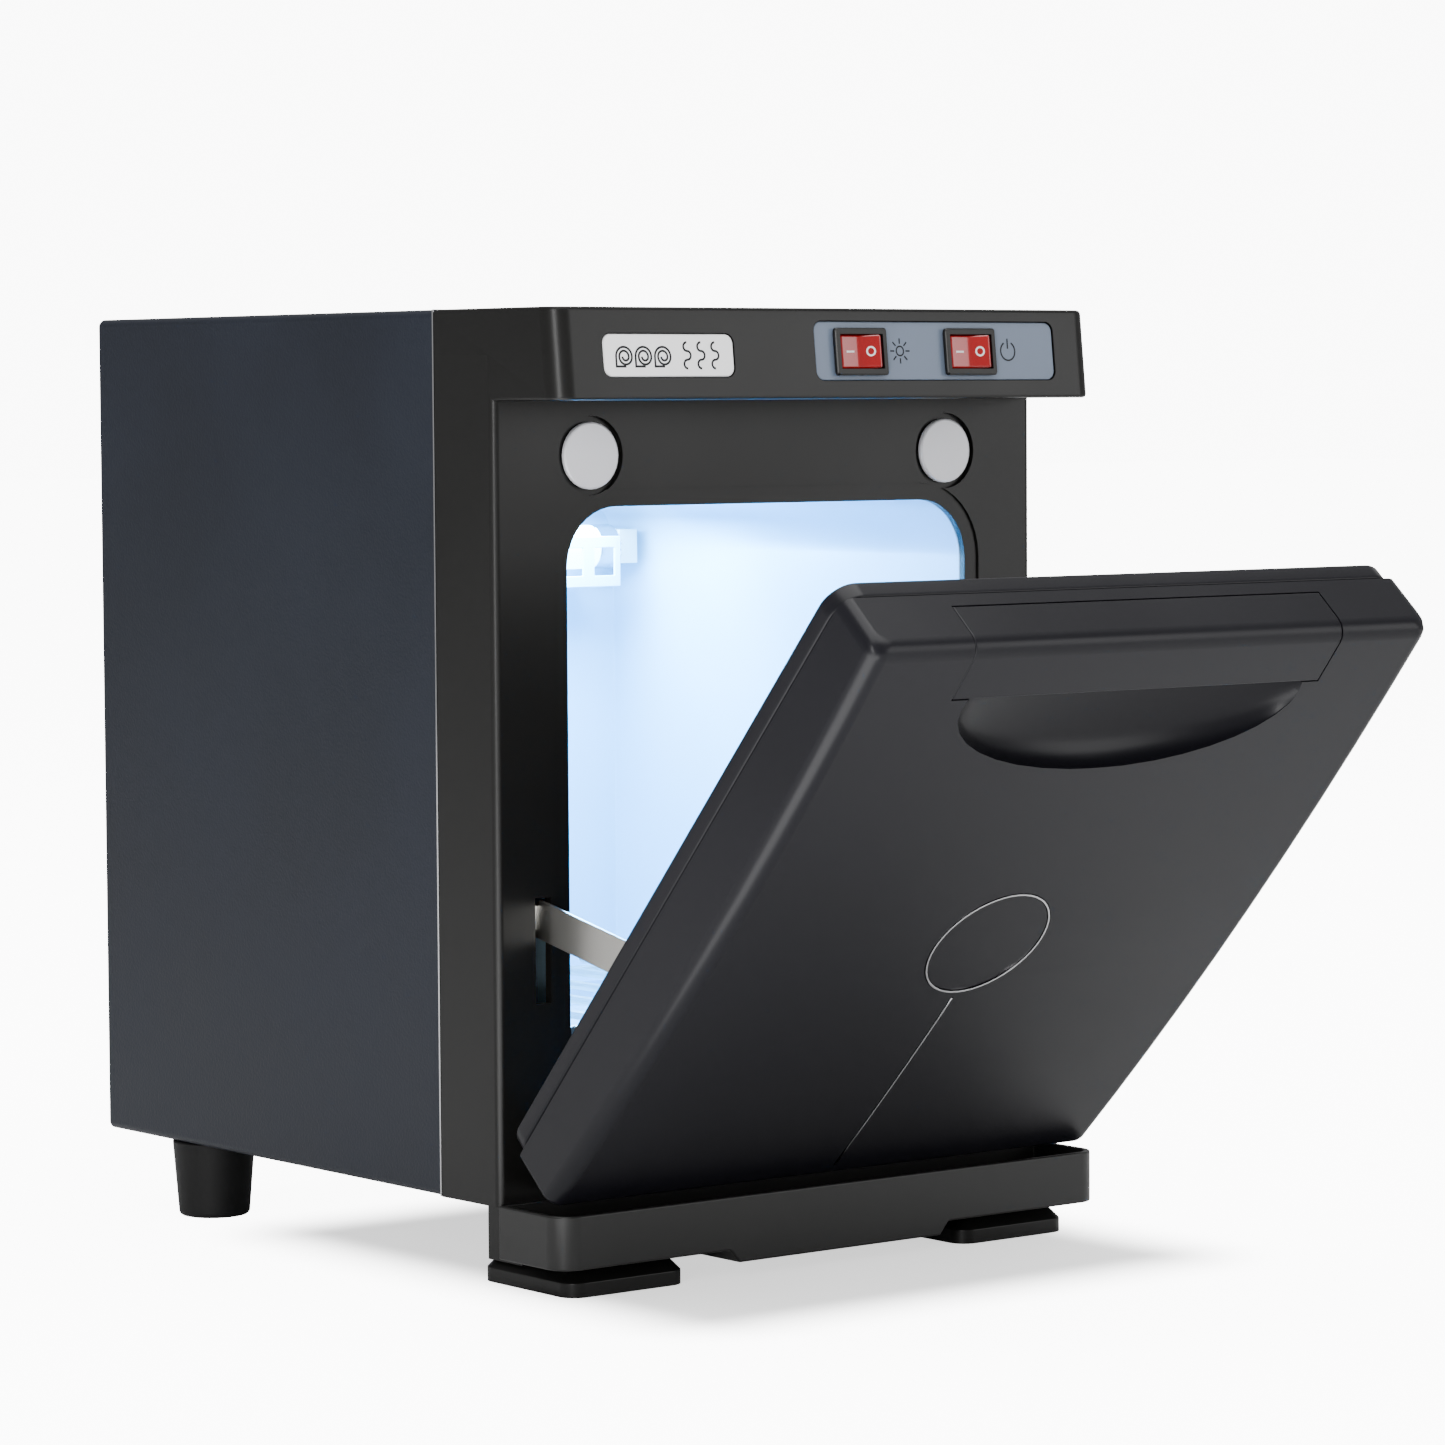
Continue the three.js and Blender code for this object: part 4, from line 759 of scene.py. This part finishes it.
    @staticmethod
    def towel_end(marks: Sketch, centre: Sequence[float], radius: float) -> None:
        """End of a rolled towel: a spiral of half turns and its loose edge.

        Args:
            marks: Drawing to add to.
            centre: Centre of the roll.
            radius: Outer radius of the roll.
        """
        step = radius / 5
        x, y = centre
        for turn in range(4):
            side = 1 if turn % 2 else -1
            marks.arc((x + side * step / 2, y), radius - turn * step, 0 if side < 0 else 180, 180, 14)
        edge = x - step / 2 - radius
        marks.bar((edge, y), (edge, y - radius))
        marks.bar((edge, y - radius), (x, y - radius))

    def rocker_marks(self, name: str) -> None:
        """On and off marks on a rocker's two faces."""
        pivot = Vector(joint(f"rocker_{name}_pivot")["pos_m"])
        base = plane_at(pivot, Vector((1, 0, 0)), self.up) @ Matrix.Rotation(self.rest_tilt, 4, "Y")
        lip_height = math.sqrt(self.lip_reach**2 - self.lip_x**2)
        slope = math.atan2(self.vee_depth, self.lip_x)
        for label, side in SIDES:
            x = side * self.lip_x * self.face_middle
            height = lip_height - self.vee_depth + self.vee_depth * abs(x) / self.lip_x
            face = base @ Matrix.Translation((x, 0, height)) @ Matrix.Rotation(-side * slope, 4, "Y")
            marks = Sketch(face, self.stroke, self.rocker_ink)
            if side < 0:
                marks.bar((-self.on_half, 0), (self.on_half, 0))
            else:
                marks.arc((0, 0), self.off_radius, 0, 360)
            marks.finish(f"rocker_{name}_mark_{label}", WHITE_INK, f"rocker_{name}", "red_lens")


@dataclass
class Chamber:
    """Lit chamber: liner, lamp, guard, rack and water tray."""

    sheet_edge: Edging = Edging(0.3 * MM, 2)
    fitting_edge: Edging = Edging(0.25 * MM, 2)
    cap_length: float = 9.0 * MM
    cap_wall: float = 0.15 * MM
    cap_rim: float = 0.6 * MM

    def build(self) -> None:
        """Builds the chamber's pieces."""
        for node in ("chamber_liner", "chamber_tray", "lamp_guard"):
            eased_copy(node, self.sheet_edge)
        for node in ("uv_lamp", "wire_rack", "lamp_holder_left", "lamp_holder_right"):
            eased_copy(node, self.fitting_edge)
        self.lamp_caps()

    def lamp_caps(self) -> None:
        """Metal end caps on the lamp tube."""
        low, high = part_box("uv_lamp")
        radius = (high.z - low.z) / 2 + self.cap_wall
        centre = box_centre("uv_lamp")
        shape = bmesh.new()
        for end, side in ((low.x, 1.0), (high.x, -1.0)):
            place = Matrix.Translation((end + side * self.cap_length / 2, centre.y, centre.z))
            turn = Matrix.Rotation(math.pi / 2, 4, "Y")
            bmesh.ops.create_cone(
                shape, cap_ends=True, segments=40, radius1=radius, radius2=radius, depth=self.cap_length,
                matrix=place @ turn,
            )
        rims = [edge for edge in shape.edges if len({round(vert.co.x, 6) for vert in edge.verts}) == 1]
        bmesh.ops.bevel(
            shape, geom=rims, offset=self.cap_rim, affect="EDGES", segments=3, profile=0.5, material=-1
        )
        piece_from(shape, "lamp_caps", BRIGHT_METAL, "cabinet")


@dataclass
class ServiceSpace:
    """Electrical pieces that only show through the vents."""

    nodes: tuple[str, ...] = (
        "heater_plate", "thermostat", "thermal_fuse", "insulation_base", "insulation_top", "service_shelf",
        "ballast", "terminal_block", "door_insulation",
    )

    def build(self) -> None:
        """Dresses the pieces."""
        for node in self.nodes:
            dress(node)


@dataclass
class Door:
    """Drop-down door with its trim, magnets, brackets and stays."""

    moulded_edge: Edging = Edging(0.45 * MM, 3)
    trim_edge: Edging = Edging(0.06 * MM, 1)
    seal_edge: Edging = Edging(0.3 * MM, 2)
    steel_edge: Edging = Edging(0.2 * MM, 2)
    bracket_edge: Edging = Edging(0.15 * MM, 2)

    def build(self) -> None:
        """Builds the door's pieces."""
        for node in ("door_outer_shell", "door_inner_panel", "handle_cover"):
            eased_copy(node, self.moulded_edge)
        for node in ("badge_ring", "door_inlay"):
            eased_copy(node, self.trim_edge)
        for node in ("door_gasket", "door_magnet_left", "door_magnet_right"):
            eased_copy(node, self.seal_edge)
        for name, _ in SIDES:
            eased_copy(f"stay_{name}", self.steel_edge)
            eased_copy(f"stay_bracket_{name}", self.bracket_edge)
            eased_copy(f"stay_rivet_{name}", self.steel_edge)
            eased_copy(f"hinge_pin_{name}", self.steel_edge)


@dataclass
class DripTray:
    """Trough that slides out under the door."""

    edge: Edging = Edging(0.6 * MM, 3)

    def build(self) -> None:
        """Builds the tray's piece."""
        eased_copy("drip_tray", self.edge)


# --------------------------------------------------------------------------------------------------
# Studio
# --------------------------------------------------------------------------------------------------


@dataclass(frozen=True)
class SoftLight:
    """A rectangular light without hard edges, which the camera doesn't see.

    Args:
        name: Its name.
        place: Where it hangs.
        target: The point it is aimed at.
        size: Its width and height.
        power: Its power in watts.
    """

    name: str
    place: tuple[float, float, float]
    target: tuple[float, float, float]
    size: tuple[float, float]
    power: float

    def hang(self) -> None:
        """Makes the light and aims it."""
        data = bpy.data.lights.new(self.name, "AREA")
        data.energy = self.power
        data.shape = "RECTANGLE"
        data.size, data.size_y = self.size
        light = bpy.data.objects.new(self.name, data)
        bpy.context.scene.collection.objects.link(light)
        light.visible_camera = False
        light.location = self.place
        aim = Vector(self.target) - Vector(self.place)
        light.rotation_mode = "QUATERNION"
        light.rotation_quaternion = aim.to_track_quat("-Z", "Y")


@dataclass
class Studio:
    """Camera, floor and soft light."""

    lens: float = 127.68
    sensor: float = 36.0
    position: tuple[float, float, float] = (-1.0187, -1.3057, 0.27445)
    yaw: float = math.radians(37.92)
    pitch: float = math.radians(3.6)
    roll: float = math.radians(-0.364)
    floor_size: float = 30.0
    surround: float = 0.36
    backdrop: float = 10.0
    # Painted shadow on the floor sheet: the share of glow left over the footprint, and how far from it the glow
    # returns to full
    painted_shadow_glow: float = 0.12
    painted_shadow_reach: float = 0.05
    footprint: tuple[float, float, float] = (0.085, 0.1, 0.0)
    sheet_tone: float = 0.9
    sheet_roughness: float = 0.8
    sheet_gloss: float = 0.1
    bounce_depth: float = 0.4 * MM  # of the lighting floor under the white sheet
    chamber_power: float = 3.4
    chamber_colour: tuple[float, float, float] = (0.22, 0.58, 1.0)
    chamber_light: tuple[float, float] = (0.12, 0.06)
    chamber_inset: float = 0.05
    chamber_drop: float = 0.012
    soft_lights: tuple[SoftLight, ...] = (
        SoftLight("top", (0.0, -0.3, 2.6), (0.0, 0.0, 0.0), (3.2, 3.2), 120.0),
        SoftLight("key", (-2.3, -1.75, 0.75), (0.0, -0.05, 0.2), (0.4, 1.4), 34.0),
        SoftLight("front", (1.9, -2.4, 0.75), (0.0, 0.0, 0.25), (1.5, 1.3), 17.0),
        SoftLight("rim", (1.9, 0.9, 1.2), (0.0, 0.0, 0.15), (1.0, 1.0), 2.5),
        SoftLight("low", (-0.5, -0.42, 0.01), (-0.5, -0.42, 1.0), (0.6, 0.7), 6.0),
    )

    def build(self) -> None:
        """Builds the studio."""
        self.camera()
        self.floor()
        self.world()
        self.lights()

    def camera(self) -> None:
        """Camera at the reference view angle."""
        data = bpy.data.cameras.new("camera")
        data.lens = self.lens
        data.sensor_width = self.sensor
        camera = bpy.data.objects.new("camera", data)
        bpy.context.scene.collection.objects.link(camera)
        level = math.cos(self.pitch)
        forward = Vector((math.sin(self.yaw) * level, math.cos(self.yaw) * level, -math.sin(self.pitch)))
        flat_right = Vector((math.cos(self.yaw), -math.sin(self.yaw), 0.0))
        flat_up = flat_right.cross(forward)
        right = flat_right * math.cos(self.roll) + flat_up * math.sin(self.roll)
        up = flat_up * math.cos(self.roll) - flat_right * math.sin(self.roll)
        matrix = Matrix((right, up, -forward)).transposed().to_4x4()
        matrix.translation = Vector(self.position)
        camera.matrix_world = matrix
        bpy.context.scene.camera = camera

    def floor(self) -> None:
        """Pale floor: a white sheet for the eye, with a painted shadow near the object, and a softer one under it
        that lights the object.
        """
        sheet = self.sheet("floor", 0.0, self.sheet_material())
        sheet.visible_diffuse = False
        sheet.visible_glossy = False
        sheet.visible_shadow = False
        bounce = self.sheet("floor_bounce", -self.bounce_depth, FLOOR.material())
        bounce.visible_camera = False

    def sheet(self, name: str, height: float, material: bpy.types.Material) -> bpy.types.Object:
        """One flat sheet of floor.

        Args:
            name: Its name.
            height: Height it lies at.
            material: What it is made of.

        Returns:
            The sheet, already put on the stage.
        """
        shape = bmesh.new()
        bmesh.ops.create_grid(shape, x_segments=1, y_segments=1, size=self.floor_size / 2)
        data = bpy.data.meshes.new(name)
        shape.to_mesh(data)
        shape.free()
        sheet = bpy.data.objects.new(name, data)
        bpy.context.scene.collection.objects.link(sheet)
        sheet.location.z = height
        data.materials.append(material)
        return sheet

    def sheet_material(self) -> bpy.types.Material:
        """White sheet with a painted shadow: its glow is cut low over and near the object's footprint and clears
        to white away from it.
        """
        material = bpy.data.materials.new("floor_sheet")
        material.use_nodes = True
        tree = material.node_tree
        shader = tree.nodes["Principled BSDF"]
        shader.inputs["Base Color"].default_value = (*(self.sheet_tone,) * 3, 1.0)
        shader.inputs["Roughness"].default_value = self.sheet_roughness
        shader.inputs["Specular IOR Level"].default_value = self.sheet_gloss
        shader.inputs["Emission Strength"].default_value = self.backdrop
        socket = tree.nodes.new("ShaderNodeTexCoord").outputs["Object"]
        steps = (
            ("ABSOLUTE", None), ("SUBTRACT", self.footprint), ("MAXIMUM", (0.0, 0.0, 0.0)), ("LENGTH", None)
        )
        for operation, value in steps:
            step = tree.nodes.new("ShaderNodeVectorMath")
            step.operation = operation
            tree.links.new(socket, step.inputs[0])
            if value:
                step.inputs[1].default_value = value
            socket = step.outputs["Value" if operation == "LENGTH" else "Vector"]
        # Painted shadow: the glow rises from its low share over the footprint to full a short reach away
        span = tree.nodes.new("ShaderNodeMapRange")
        span.interpolation_type = "SMOOTHSTEP"
        span.inputs["From Min"].default_value = 0.0
        span.inputs["From Max"].default_value = self.painted_shadow_reach
        span.inputs["To Min"].default_value = self.painted_shadow_glow
        span.inputs["To Max"].default_value = 1.0
        tree.links.new(socket, span.inputs["Value"])
        tree.links.new(span.outputs["Result"], shader.inputs["Emission Color"])
        return material

    def world(self) -> None:
        """Pale surroundings, white behind the object and softer as a light."""
        world = bpy.data.worlds.new("studio")
        world.use_nodes = True
        tree = world.node_tree
        soft = tree.nodes["Background"]
        soft.inputs["Color"].default_value = (1.0, 1.0, 1.0, 1.0)
        soft.inputs["Strength"].default_value = self.surround
        sheet = tree.nodes.new("ShaderNodeBackground")
        sheet.inputs["Color"].default_value = (1.0, 1.0, 1.0, 1.0)
        sheet.inputs["Strength"].default_value = self.backdrop
        path = tree.nodes.new("ShaderNodeLightPath")
        mix = tree.nodes.new("ShaderNodeMixShader")
        tree.links.new(path.outputs["Is Camera Ray"], mix.inputs["Fac"])
        tree.links.new(soft.outputs["Background"], mix.inputs[1])
        tree.links.new(sheet.outputs["Background"], mix.inputs[2])
        tree.links.new(mix.outputs["Shader"], tree.nodes["World Output"].inputs["Surface"])
        bpy.context.scene.world = world

    def lights(self) -> None:
        """Hangs the soft lights and lights the chamber."""
        for light in self.soft_lights:
            light.hang()
        _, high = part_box("chamber_liner")
        data = bpy.data.lights.new("chamber_glow", "AREA")
        data.energy = self.chamber_power
        data.color = self.chamber_colour
        data.shape = "RECTANGLE"
        data.size, data.size_y = self.chamber_light
        glow = bpy.data.objects.new("chamber_glow", data)
        bpy.context.scene.collection.objects.link(glow)
        glow.location = (0.0, high.y - self.chamber_inset, high.z - self.chamber_drop)


def main() -> None:
    """Builds every sub-assembly in order."""
    logging.basicConfig(level=logging.INFO, format="%(message)s")
    for assembly in (Studio(), Case(), ControlHood(), Chamber(), ServiceSpace(), Door(), DripTray()):
        LOG.info("building %s", type(assembly).__name__)
        assembly.build()


if __name__ == "__main__":
    main()
